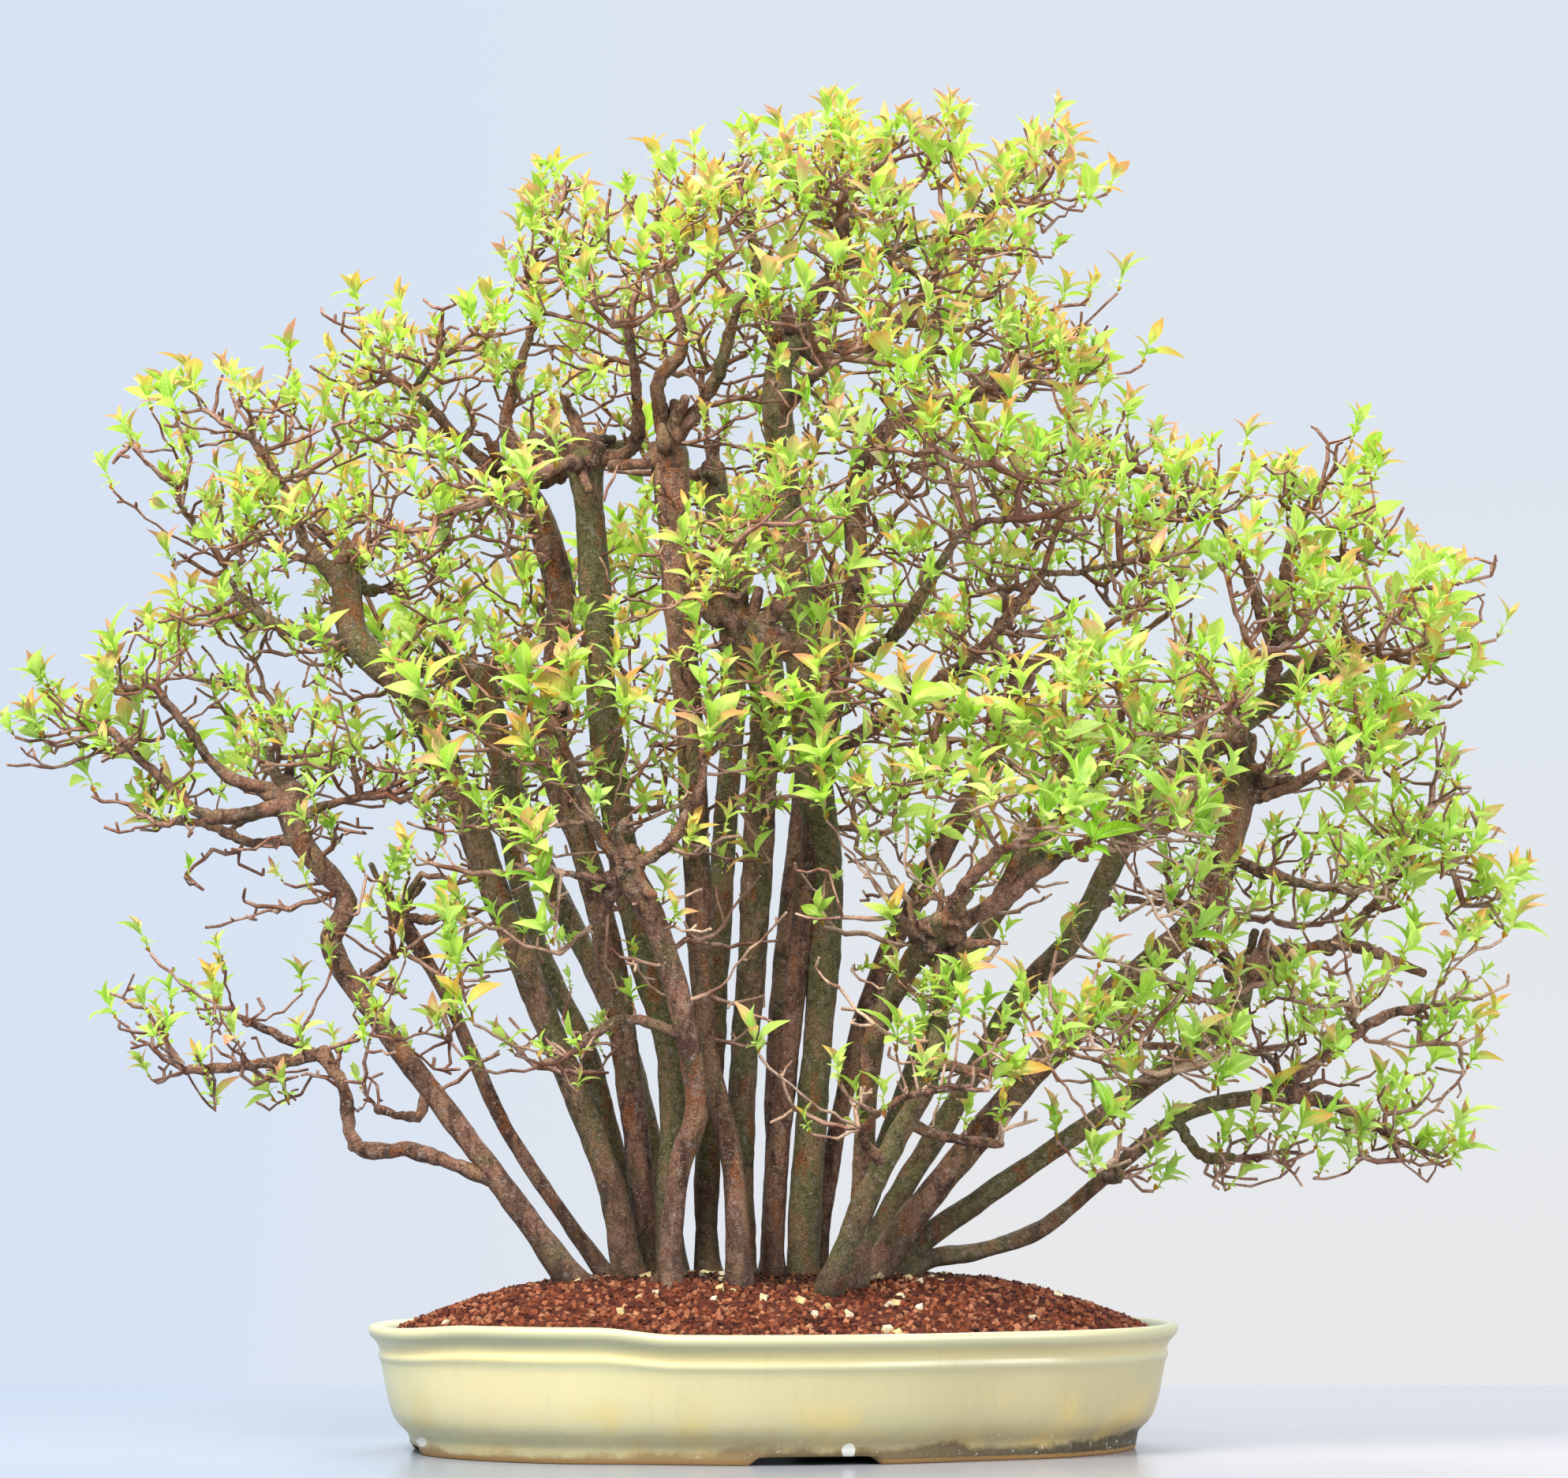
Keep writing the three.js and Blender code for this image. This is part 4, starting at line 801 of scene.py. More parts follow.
# The trunks: x, depth, height and radius at points along each, seen from the tree's front, where a
# negative depth is nearer the eye.
TRUNKS: dict[str, Rows] = {
    "far_left": [
        [-100, -24, 92, 11.5], [-131, -30, 110, 10.5], [-165, -32, 154, 9.3], [-202, -32, 203, 8.6],
        [-256, -24, 274, 8], [-296, -14, 334, 7.4], [-286, -10, 363, 7], [-316, -5, 400, 7.4],
        [-329, 2, 436, 9]],
    "left_slim": [
        [-95, 6, 92, 7.5], [-115, 10, 117, 6.8], [-149, 12, 164, 6], [-182, 14, 214, 5.6],
        [-217, 12, 292, 4.8], [-231, 8, 319, 4.6], [-252, 4, 352, 6]],
    "left_thick": [
        [-86, -16, 90, 13.5], [-97, -20, 117, 12], [-110, -22, 178, 10.8], [-139, -24, 252, 10.2],
        [-179, -26, 351, 9.6], [-212, -28, 437, 9], [-243, -28, 500, 8.8], [-280, -26, 537, 8.6],
        [-288, -24, 582, 9]],
    "left_behind": [
        [-80, 14, 92, 9], [-92, 22, 132, 8], [-127, 30, 264, 7.2], [-162, 38, 337, 6.8],
        [-183, 44, 425, 6.6], [-190, 46, 492, 6.6], [-200, 44, 520, 8]],
    "left_tall": [
        [-74, 0, 90, 12.5], [-83, 4, 126, 11], [-94, 8, 214, 10.2], [-108, 12, 313, 9.8],
        [-130, 16, 402, 9.4], [-150, 20, 467, 9.2], [-145, 22, 562, 9], [-158, 18, 620, 8.6],
        [-178, 14, 652, 8]],
    "mid_tall": [
        [-60, -12, 90, 12.5], [-70, -10, 123, 11], [-69, -6, 252, 10], [-91, -4, 337, 9.6],
        [-109, -4, 439, 9.4], [-118, -6, 525, 9.4], [-125, -8, 626, 9.6], [-128, -10, 660, 13]],
    "front_left": [
        [-56, -42, 92, 10.5], [-68, -58, 114, 9.4], [-62, -64, 187, 8.6], [-51, -72, 222, 8.6],
        [-58, -86, 274, 8.4], [-76, -104, 340, 8], [-97, -122, 380, 10.5]],
    "front_crossing": [
        [-22, -40, 92, 10.5], [-23, -54, 114, 9.2], [-29, -52, 194, 8.2], [-45, -44, 262, 8.2],
        [-50, -38, 349, 8.4], [-56, -36, 462, 8.6], [-65, -40, 572, 8.8], [-71, -44, 660, 12]],
    "back_middle": [
        [-38, 18, 90, 11.5], [-46, 24, 126, 10], [-41, 42, 282, 8.8], [-35, 62, 405, 8],
        [-29, 84, 504, 7.4], [-34, 112, 592, 7], [-44, 130, 672, 8]],
    "mid_knuckle": [
        [-14, 0, 90, 12.5], [-22, 0, 123, 11], [-22, -6, 232, 10], [-14, -26, 348, 9.8],
        [-9, -58, 439, 9.4], [-5, -80, 497, 9.6], [-14, -90, 532, 14]],
    "mid_slim": [
        [4, -4, 90, 9.5], [-1, -6, 129, 8.4], [5, -10, 217, 7.6], [18, -14, 342, 7.4], [33, -16, 462, 7.2],
        [53, -16, 573, 7], [57, -14, 652, 6.4], [84, -12, 687, 5.6], [134, -12, 705, 5]],
    "apex": [
        [22, 2, 90, 14], [19, -2, 129, 12.6], [25, -8, 226, 11.8], [34, -12, 365, 11.2],
        [24, -14, 462, 10.8], [12, -16, 582, 10.2], [4, -14, 667, 9.4], [2, -12, 720, 8.6],
        [10, -12, 742, 10]],
    "back_right": [
        [28, 32, 92, 9.5], [30, 44, 137, 8.2], [44, 52, 219, 7.6], [70, 62, 314, 7.4], [112, 72, 397, 7.2],
        [152, 78, 472, 7], [172, 82, 526, 8]],
    "front_right": [
        [46, -34, 92, 10.5], [54, -48, 114, 9.4], [58, -62, 192, 8.6], [64, -84, 267, 8.2],
        [85, -112, 314, 8], [107, -132, 339, 11]],
    "front_most": [
        [30, -44, 92, 11.5], [38, -66, 112, 10.2], [58, -86, 165, 9.4], [76, -98, 200, 8.6],
        [99, -116, 246, 7.4], [109, -128, 322, 6.6]],
    "right_thick": [
        [58, -10, 90, 13.5], [74, -16, 129, 12.2], [110, -22, 176, 11.2], [168, -26, 245, 10.4],
        [221, -28, 298, 10], [284, -26, 354, 9.6], [302, -22, 400, 9], [312, -18, 446, 11.5]],
    "back_far_right": [
        [52, 24, 92, 11], [70, 40, 142, 9.6], [127, 54, 235, 8.8], [168, 64, 303, 8.4], [204, 72, 342, 8],
        [258, 84, 437, 7.6], [327, 92, 494, 7.2], [371, 94, 531, 7.2]],
    "far_right": [
        [68, 2, 90, 10.5], [96, -2, 134, 9], [136, -6, 164, 8.4], [212, -10, 216, 8], [282, -12, 267, 7.8],
        [308, -12, 294, 7.4], [312, -12, 317, 8.4]],
    "low_right": [
        [68, -6, 93, 9], [98, -2, 123, 7.6], [136, 0, 130, 6.8], [178, 2, 145, 6.4], [220, 2, 179, 6.2],
        [276, 0, 222, 6], [336, -4, 235, 6.6]],
    "rear_left": [
        [-62, 30, 92, 9.5], [-70, 46, 142, 8.4], [-104, 84, 272, 7.6], [-160, 126, 392, 7],
        [-206, 160, 502, 7.6]],
    "rear_middle": [
        [-4, 34, 92, 9.5], [-2, 52, 142, 8.6], [4, 100, 302, 7.8], [20, 146, 442, 7.2],
        [34, 176, 572, 7.6]],
    "rear_right": [
        [38, 30, 92, 9], [56, 52, 142, 8], [104, 104, 272, 7.2], [168, 148, 382, 6.8],
        [226, 172, 462, 7.4]],
}

# The named branches, in the same way. Each starts inside the trunk or branch that it grows from.
BRANCHES: dict[str, Rows] = {
    "low_left_reach": [
        [-181, -32, 176, 5.6], [-239, -36, 197, 4.9], [-276, -34, 200, 4.8], [-286, -30, 238, 4.6],
        [-300, -28, 262, 6]],
    "low_left_tip": [[-300, -28, 260, 4.6], [-342, -26, 254, 3.6], [-392, -16, 250, 3]],
    "low_left_rise": [[-298, -28, 258, 4.4], [-327, -34, 272, 3.4], [-352, -30, 284, 2.8]],
    "low_left_spur": [[-231, -26, 238, 4], [-236, -34, 220, 3.2], [-262, -44, 224, 2.6]],
    "far_left_reach": [
        [-326, -2, 428, 5.6], [-378, -6, 420, 4.6], [-412, -6, 446, 3.8], [-446, -4, 478, 3]],
    "far_left_rise": [[-330, 0, 438, 5], [-366, -10, 446, 4], [-396, -16, 482, 3.2], [-410, -18, 500, 2.8]],
    "far_left_under": [[-318, -2, 406, 4.6], [-352, 16, 404, 3.8], [-384, 30, 416, 3]],
    "stump_left": [[-279, -26, 534, 5.6], [-330, 10, 547, 4.4], [-364, 26, 572, 3.4]],
    "stump_up": [[-288, -24, 574, 6], [-312, -32, 598, 4.6], [-330, -36, 642, 3.6], [-346, -36, 666, 3]],
    "behind_left": [[-199, 44, 514, 5], [-240, 50, 524, 4], [-306, 58, 540, 3.2]],
    "tall_left": [[-176, 14, 647, 5.6], [-206, -4, 668, 4.6], [-236, -30, 698, 3.8], [-262, -34, 716, 3]],
    "knuckle_left": [
        [-128, -10, 660, 7], [-168, -14, 662, 5.6], [-182, -14, 682, 4.4], [-176, -14, 708, 3.8],
        [-160, -14, 762, 3]],
    "knuckle_right": [[-128, -10, 660, 6], [-96, -22, 666, 4.6], [-92, -60, 698, 3.8], [-96, -96, 732, 3]],
    "knuckle_front": [[-128, -12, 656, 6], [-140, -50, 652, 4.4], [-178, -96, 626, 3.2]],
    "crossing_up": [[-71, -44, 660, 7], [-78, -44, 708, 5], [-62, -42, 732, 4.2], [-74, -40, 788, 3.2]],
    "crossing_right": [[-70, -46, 664, 5.6], [-40, -72, 704, 4.2], [-24, -96, 754, 3.2]],
    "apex_right": [[10, -12, 740, 6.4], [66, -20, 738, 5.2], [90, -26, 758, 4.4], [104, -44, 774, 3.4]],
    "apex_up": [[8, -12, 740, 7], [26, -12, 770, 5.6], [44, -10, 798, 4.4], [46, -4, 846, 3.2]],
    "apex_left": [[4, -12, 736, 5.6], [-10, -20, 776, 4.2], [-16, -28, 822, 3.2]],
    "apex_far_right": [[42, -10, 792, 4.4], [92, -8, 808, 3.8], [130, -10, 818, 3.2], [150, -8, 838, 2.8]],
    "apex_back": [[10, -10, 740, 6], [30, 34, 758, 4.6], [46, 74, 780, 3.4]],
    "apex_front": [[4, -14, 692, 5.6], [18, -66, 700, 4.4], [32, -118, 706, 3.2]],
    "mid_right_reach": [
        [36, -14, 456, 6.4], [78, -26, 490, 5.4], [112, -50, 508, 4.6], [140, -66, 532, 4],
        [176, -78, 576, 3.2]],
    "crossing_bough": [[30, -14, 516, 5.4], [75, -50, 534, 4.6], [98, -84, 564, 4], [120, -112, 598, 3.2]],
    "right_knuckle_up": [[312, -18, 446, 6], [306, -48, 484, 4.6], [316, -68, 516, 3.4]],
    "right_knuckle_in": [[310, -20, 438, 5.6], [286, -76, 450, 4.4], [276, -118, 466, 3.2]],
    "right_knuckle_out": [[308, -20, 428, 5.4], [344, -44, 438, 4.2], [360, -58, 448, 3.2]],
    "right_shoulder": [[300, -22, 392, 5], [342, -30, 376, 4], [372, -38, 370, 3]],
    "cut_end_up": [[343, 92, 506, 5.6], [346, 60, 552, 5], [354, 30, 615, 4.2], [372, 14, 648, 3.2]],
    "cut_end_fork": [[344, 72, 536, 4.4], [322, 44, 592, 3.6], [300, 24, 628, 3]],
    "cut_end_right": [[368, 92, 528, 5], [392, 50, 544, 4.2], [402, 12, 532, 3.4]],
    "far_right_level": [
        [310, -12, 314, 6], [334, -14, 327, 5.4], [383, -16, 333, 4.6], [433, -10, 315, 3.4]],
    "far_right_rise": [[370, -15, 331, 4.4], [399, -14, 360, 3.8], [423, -10, 388, 3]],
    "low_right_rise": [[332, -4, 235, 5.6], [370, -14, 262, 4.6], [403, -14, 285, 3.8], [432, -12, 292, 3]],
    "low_right_level": [[336, -4, 235, 5.2], [373, -8, 228, 4.2], [400, -8, 214, 3.4], [412, -4, 206, 3]],
    "low_right_under": [[268, 0, 216, 4.6], [284, -10, 194, 3.8], [304, -16, 192, 3]],
    "front_right_reach": [
        [107, -132, 338, 6.4], [140, -146, 354, 5.4], [180, -156, 384, 4.4], [212, -164, 400, 3.2]],
    "front_right_rise": [[107, -132, 339, 6], [120, -160, 364, 4.6], [142, -184, 388, 3.4]],
    "front_right_high": [[140, -146, 353, 4.6], [164, -164, 404, 3.8], [184, -176, 440, 3]],
    "front_right_low": [[100, -118, 254, 4], [144, -128, 248, 3.6], [186, -132, 264, 3]],
    "front_most_right": [[84, -104, 216, 4], [112, -104, 206, 3.6], [146, -108, 202, 3]],
    "front_most_left": [[70, -96, 190, 3.8], [56, -116, 206, 3.2], [62, -140, 218, 2.6]],
    "front_left_up": [
        [-97, -122, 380, 5.6], [-116, -122, 404, 4.4], [-130, -116, 440, 3.4], [-142, -112, 472, 2.8]],
    "front_left_right": [
        [-94, -120, 380, 5], [-69, -132, 394, 4], [-48, -142, 432, 3.2], [-46, -146, 454, 2.8]],
    "front_left_low": [[-58, -86, 272, 4.2], [-100, -94, 282, 3.4], [-136, -98, 258, 2.6]],
    "knuckle_reach": [[-14, -90, 532, 7], [-40, -106, 544, 5.6], [-52, -122, 558, 4]],
    "knuckle_turn": [[-12, -90, 532, 6], [14, -116, 520, 4.6], [30, -130, 506, 3.4]],
}

# The leafy sprays. Each line is one spray, and each entry in it is a clump of foliage: its centre as
# x, depth and height, then its half-extents.
SPRAYS: list[Rows] = [
    [[-345, -40, 290, 56, 60, 38], [-418, -5, 298, 38, 48, 44]],
    [[-412, -25, 527, 46, 55, 46], [-472, 0, 492, 42, 45, 42]],
    [[-395, 40, 440, 54, 60, 34]],
    [[-385, 30, 626, 52, 60, 40], [-432, 0, 672, 36, 45, 34]],
    [[-332, -50, 608, 52, 60, 40], [-352, 60, 558, 54, 60, 34]],
    [[-352, -35, 696, 62, 58, 42]],
    [[-222, -70, 740, 48, 58, 42], [-282, -30, 744, 36, 50, 46]],
    [[-200, -20, 698, 54, 60, 36]],
    [[-150, -15, 792, 48, 58, 46], [-141, 0, 847, 30, 40, 34]],
    [[-86, -45, 820, 52, 60, 46], [-17, -35, 860, 52, 60, 44]],
    [[-97, -120, 757, 52, 60, 36], [-17, -115, 789, 52, 60, 40]],
    [[40, -75, 830, 58, 62, 40], [42, 15, 885, 46, 52, 34]],
    [[114, -70, 794, 52, 62, 40], [106, -15, 876, 52, 58, 40]],
    [[166, -10, 828, 46, 58, 40], [184, 10, 876, 36, 42, 42]],
    [[38, -150, 732, 54, 60, 40]],
    [[152, -85, 714, 56, 62, 40], [206, -15, 744, 38, 50, 40]],
    [[168, -130, 624, 58, 62, 38], [94, -155, 666, 58, 62, 40]],
    [[222, -45, 666, 50, 60, 38], [284, 10, 650, 50, 60, 38]],
    [[247, -90, 598, 54, 62, 40]],
    [[402, 15, 614, 46, 56, 34], [378, 5, 666, 34, 44, 42]],
    [[406, -30, 541, 54, 62, 42], [463, 0, 576, 42, 48, 40]],
    [[326, -85, 546, 58, 64, 44]],
    [[369, -80, 466, 54, 62, 42], [442, -20, 492, 44, 54, 38]],
    [[274, -150, 492, 58, 66, 44], [194, -195, 466, 58, 66, 46]],
    [[458, -5, 412, 42, 58, 46], [482, 0, 358, 32, 44, 38]],
    [[388, -45, 382, 54, 62, 42]],
    [[247, -180, 412, 54, 62, 42], [157, -215, 408, 54, 62, 46]],
    [[378, -60, 306, 58, 62, 34]],
    [[462, -15, 308, 40, 52, 38], [458, 0, 246, 32, 42, 34]],
    [[326, -25, 210, 50, 58, 36]],
    [[430, 0, 204, 40, 46, 32]],
    [[346, -45, 264, 44, 54, 32]],
    [[222, -90, 204, 38, 48, 34], [163, -120, 214, 36, 44, 30]],
    [[262, -110, 262, 44, 54, 32], [196, -150, 282, 44, 52, 36]],
    [[130, -185, 254, 42, 50, 34], [67, -160, 232, 28, 32, 28]],
    [[36, -135, 492, 44, 56, 38], [26, -120, 440, 42, 52, 36]],
    [[-150, -105, 492, 50, 62, 36], [-223, -65, 504, 46, 58, 36]],
    [[-270, -20, 452, 46, 58, 42], [-213, -70, 428, 34, 44, 36]],
    [[-150, -140, 394, 38, 50, 46]],
    [[-46, -150, 478, 42, 50, 34]],
    [[-54, -135, 566, 54, 62, 40], [8, -165, 598, 54, 60, 44]],
    [[-192, -125, 630, 48, 58, 36], [-266, -75, 590, 42, 56, 34]],
    [[-243, -40, 344, 38, 46, 32], [-202, -60, 314, 28, 32, 28]],
    [[-150, -100, 260, 34, 36, 28]],
    [[-330, 140, 462, 56, 62, 40], [-390, 100, 532, 48, 56, 40]],
    [[-250, 190, 552, 58, 62, 42], [-290, 140, 642, 56, 60, 42]],
    [[-150, 205, 592, 58, 62, 42], [-130, 150, 702, 56, 60, 42]],
    [[-45, 190, 632, 58, 62, 42], [-60, 100, 762, 54, 58, 42]],
    [[55, 220, 592, 58, 60, 42], [60, 165, 712, 58, 60, 42]],
    [[60, 90, 807, 54, 56, 40], [135, 110, 772, 54, 58, 42]],
    [[165, 185, 552, 58, 62, 42], [170, 150, 662, 58, 60, 42]],
    [[262, 180, 492, 58, 62, 42], [262, 120, 592, 56, 60, 42]],
    [[345, 130, 462, 56, 60, 42], [390, 100, 552, 50, 58, 42]],
    [[300, 165, 382, 56, 60, 40], [395, 90, 382, 52, 58, 42]],
    [[-185, 185, 452, 56, 60, 40]],
    [[60, 205, 442, 56, 60, 40]],
    [[330, 70, 282, 52, 56, 36], [235, 110, 282, 50, 54, 36]],
]

# The crown's edge seen from the tree's front, as x and height, clockwise from the lower left.
CROWN_EDGE: list[tuple[float, float]] = [
    (-222, 152), (-291, 186), (-360, 215), (-423, 236), (-440, 275), (-435, 312), (-427, 341), (-393, 346),
    (-388, 376), (-441, 397), (-484, 439), (-521, 447), (-524, 484), (-503, 500), (-500, 532), (-466, 542),
    (-448, 552), (-416, 578), (-420, 631), (-452, 666), (-444, 707), (-394, 739), (-341, 735), (-300, 745),
    (-270, 780), (-229, 790), (-197, 812), (-173, 866), (-152, 876), (-125, 855), (-103, 866), (-60, 893),
    (-18, 912), (31, 929), (84, 915), (127, 926), (142, 890), (170, 886), (184, 925), (200, 890),
    (242, 874), (223, 815), (226, 771), (244, 750), (244, 707), (276, 700), (313, 674), (351, 674),
    (380, 678), (391, 705), (402, 678), (418, 668), (403, 642), (435, 620), (466, 597), (496, 564),
    (487, 530), (462, 492), (472, 450), (480, 418), (502, 387), (510, 352), (500, 320), (492, 286),
    (472, 259), (462, 207), (462, 178), (378, 165), (304, 160), (241, 170), (183, 160), (9, 144),
]

# The zones of thin twigs between the clumps, by the region that they belong to: the centre as x, depth
# and height, the half-extents, how many twigs, and the share of them with a tuft.
THICKETS: dict[str, Rows] = {
    "far_left": [
        [-345, -20, 380, 55, 50, 36, 36, 0.1], [-330, -20, 246, 66, 45, 26, 36, 0.1],
        [-420, 0, 478, 34, 40, 28, 16, 0.25], [-400, 10, 575, 40, 45, 30, 20, 0.3],
        [-480, 0, 462, 36, 20, 12, 9, 0.6], [-432, 0, 425, 28, 30, 16, 14, 0.4],
        [-290, -20, 408, 24, 40, 16, 12, 0.2], [-228, -20, 276, 18, 30, 26, 10, 0.15],
        [-422, -10, 266, 30, 30, 24, 14, 0.4], [-370, -10, 236, 60, 30, 14, 14, 0.3],
        [-500, 0, 466, 22, 14, 12, 5, 0.8]],
    "upper_left": [
        [-278, -40, 688, 48, 50, 38, 26, 0.5], [-140, -60, 728, 42, 50, 35, 26, 0.5],
        [-206, -60, 598, 44, 50, 38, 28, 0.4], [-296, -40, 520, 22, 40, 16, 10, 0.3],
        [-180, -40, 590, 170, 70, 150, 250, 0.1]],
    "crown": [[-25, -90, 713, 34, 40, 50, 26, 0.4], [60, -20, 800, 120, 60, 50, 40, 0.3]],
    "upper_right": [
        [135, -60, 592, 38, 50, 36, 26, 0.45], [328, -10, 632, 36, 45, 45, 24, 0.5],
        [76, -60, 635, 30, 40, 34, 20, 0.4], [110, -50, 610, 130, 70, 150, 170, 0.1]],
    "right": [[107, -120, 465, 46, 50, 34, 28, 0.4], [420, -20, 440, 60, 50, 60, 34, 0.35]],
    "low_right": [
        [410, -10, 250, 44, 50, 40, 20, 0.3], [360, -20, 192, 95, 40, 20, 26, 0.3],
        [300, -80, 330, 90, 50, 50, 34, 0.3], [300, -20, 184, 62, 40, 14, 16, 0.4]],
    "front": [
        [194, -90, 330, 120, 60, 90, 120, 0.25], [60, -110, 300, 60, 50, 90, 50, 0.25],
        [-54, -90, 350, 60, 50, 90, 50, 0.2], [-190, -60, 320, 100, 50, 80, 70, 0.25],
        [-120, -80, 450, 120, 60, 70, 80, 0.25], [60, -90, 560, 140, 60, 90, 80, 0.3],
        [270, -60, 480, 120, 60, 80, 60, 0.35], [-84, -60, 458, 20, 40, 36, 14, 0.2],
        [60, -100, 387, 18, 40, 26, 10, 0.2]],
}


@dataclass
class Stem:
    """One line of wood: its points in the pot's frame and its radius at each, in millimetres."""

    points: Points
    radii: Points

    @classmethod
    def listed(cls, stations: Rows) -> "Stem":
        """Makes a stem from a list of x, depth, height and radius."""
        return cls(np.array([place(*s[:3]) for s in stations]), np.array([s[3] for s in stations], float))

    def smooth(self, spacing: float) -> "Stem":
        """Runs a smooth curve through the stations.

        Args:
            spacing: Millimetres between samples.

        Returns:
            The finer stem.
        """
        p, gaps = self.points, np.linalg.norm(np.diff(self.points, axis=0), axis=1)
        slopes = np.empty_like(p)
        slopes[0], slopes[-1] = (p[1] - p[0]) / gaps[0], (p[-1] - p[-2]) / gaps[-1]
        slopes[1:-1] = (p[2:] - p[:-2]) / (gaps[1:] + gaps[:-1])[:, None]
        points, radii = [], []
        for i, gap in enumerate(gaps):
            steps = max(2, round(gap / spacing))
            t = (np.arange(steps) / steps)[:, None]
            points.append((2 * t**3 - 3 * t**2 + 1) * p[i] + (t**3 - 2 * t**2 + t) * gap * slopes[i]
                          + (3 * t**2 - 2 * t**3) * p[i + 1] + (t**3 - t**2) * gap * slopes[i + 1])
            radii.append(self.radii[i] + (self.radii[i + 1] - self.radii[i]) * t[:, 0])
        return Stem(np.vstack([*points, p[-1:]]), np.append(np.concatenate(radii), self.radii[-1]))

    def closed(self) -> "Stem":
        """Rounds the last end off to a dome."""
        ahead, last = unit(self.points[-1] - self.points[-2]), self.radii[-1]
        angles = np.radians([25, 48, 68, 84])
        dome = self.points[-1] + np.outer(np.sin(angles) * last * 0.8, ahead)
        return Stem(np.vstack([self.points, dome]), np.append(self.radii, np.cos(angles) * last))


class PathMesh:
    """Collects stems and knobs as the loose edges and points that the geometry trees read."""

    def __init__(self) -> None:
        self.points: list[Points] = []
        self.radii: list[Points] = []
        self.tones: list[Points] = []
        self.edges: list[tuple[int, int]] = []
        self.total = 0
        self.knobs: list[tuple[Points, float, float]] = []

    def add(self, stem: Stem, tone: float = 0.5) -> None:
        """Adds one stem as a chain of edges, with its bark's tone."""
        count = len(stem.points)
        self.points.append(stem.points)
        self.radii.append(stem.radii)
        self.tones.append(np.full(count, tone))
        self.edges += [(self.total + i, self.total + i + 1) for i in range(count - 1)]
        self.total += count

    def build(self, name: str) -> Thing:
        """Makes the object that holds the chains and, as loose points, the knobs.

        Args:
            name: The object's name.

        Returns:
            The object, with radius, tone and knob values on its points.
        """
        places = [k[0][None, :] for k in self.knobs]
        radii, tones = (np.array([k[i] for k in self.knobs]) for i in (1, 2))
        made = mesh_object(name, np.vstack(self.points + places), [], self.edges)
        set_values(made.data, "stem_radius", np.concatenate([*self.radii, radii]) * MM)
        set_values(made.data, "tone", np.concatenate([*self.tones, tones]))
        set_values(made.data, "knob", np.concatenate([np.zeros(self.total), np.ones(len(places))]))
        return made


class WoodTree(Enum):
    """How finely each class of wood is swept: its sides."""

    TRUNK = 16
    BRANCH = 8
    BOUGH = 6


def sweep(add: Adder, edges: Any, radius: Any, sides: Any) -> bpy.types.Node:
    """Adds the nodes that sweep a round section along loose edges.

    Args:
        add: What adds the nodes.
        edges: The geometry whose edges are the paths.
        radius: The radius at each point.
        sides: The section's number of sides.

    Returns:
        The node with the swept mesh.
    """
    curves = add("GeometryNodeMeshToCurve", edges)
    ring = add("GeometryNodeCurvePrimitiveCircle", {"Resolution": sides, "Radius": 1.0})
    return add("GeometryNodeCurveToMesh", curves, ring, {"Scale": radius, "Fill Caps": True})


def stem_tree() -> Tree:
    """Makes the tree that sweeps the stems, sets the knobs and roughens both.

    Returns:
        The geometry tree.
    """
    tree, add, given = new_tree("WoodSweep", [
        ("Sides", "Int", 24), ("Relief", "Float", 0.3),
        ("Relief Size", "Float", 0.02), ("Ball Steps", "Int", 3),
        ("Bark", "Material", None),
    ])
    radius = add(Kind.NAMED, "stem_radius")
    is_knob = add(Kind.ABOVE, add(Kind.NAMED, "knob"), 0.5)
    swept = sweep(add, given["Geometry"], radius, given["Sides"])
    loose = add("GeometryNodeSeparateGeometry", given["Geometry"], {"Selection": is_knob}, domain="POINT")
    ball = add("GeometryNodeMeshIcoSphere", {"Radius": 1.0, "Subdivisions": given["Ball Steps"]})
    knobs = add("GeometryNodeInstanceOnPoints", loose, {"Instance": ball, "Scale": radius})
    real = add("GeometryNodeRealizeInstances", knobs)
    joined = add("GeometryNodeJoinGeometry", [real, swept])
    at = add("GeometryNodeInputPosition")
    stretched = add("ShaderNodeVectorMath", at, (1.0, 1.0, 0.4), operation="MULTIPLY")
    fineness = add(Kind.OVER, 1.0, given["Relief Size"])
    flutes = add(Kind.NOISE, stretched, fineness)
    lumps = add(Kind.NOISE, at, add(Kind.TIMES, fineness, 2.6))
    height = add(Kind.PLUS, add(Kind.MINUS, flutes, 0.5), add(Kind.TIMES, add(Kind.MINUS, lumps, 0.5), 0.5))
    amount = add(Kind.TIMES, height, add(Kind.TIMES, radius, given["Relief"]))
    normal = add("GeometryNodeInputNormal")
    push = add("ShaderNodeVectorMath", normal, {"Scale": amount}, operation="SCALE")
    moved = add("GeometryNodeSetPosition", joined, {"Offset": push})
    smooth = add("GeometryNodeSetShadeSmooth", moved)
    dressed = add("GeometryNodeSetMaterial", smooth, {"Material": given["Bark"]})
    add("NodeGroupOutput", dressed)
    return tree


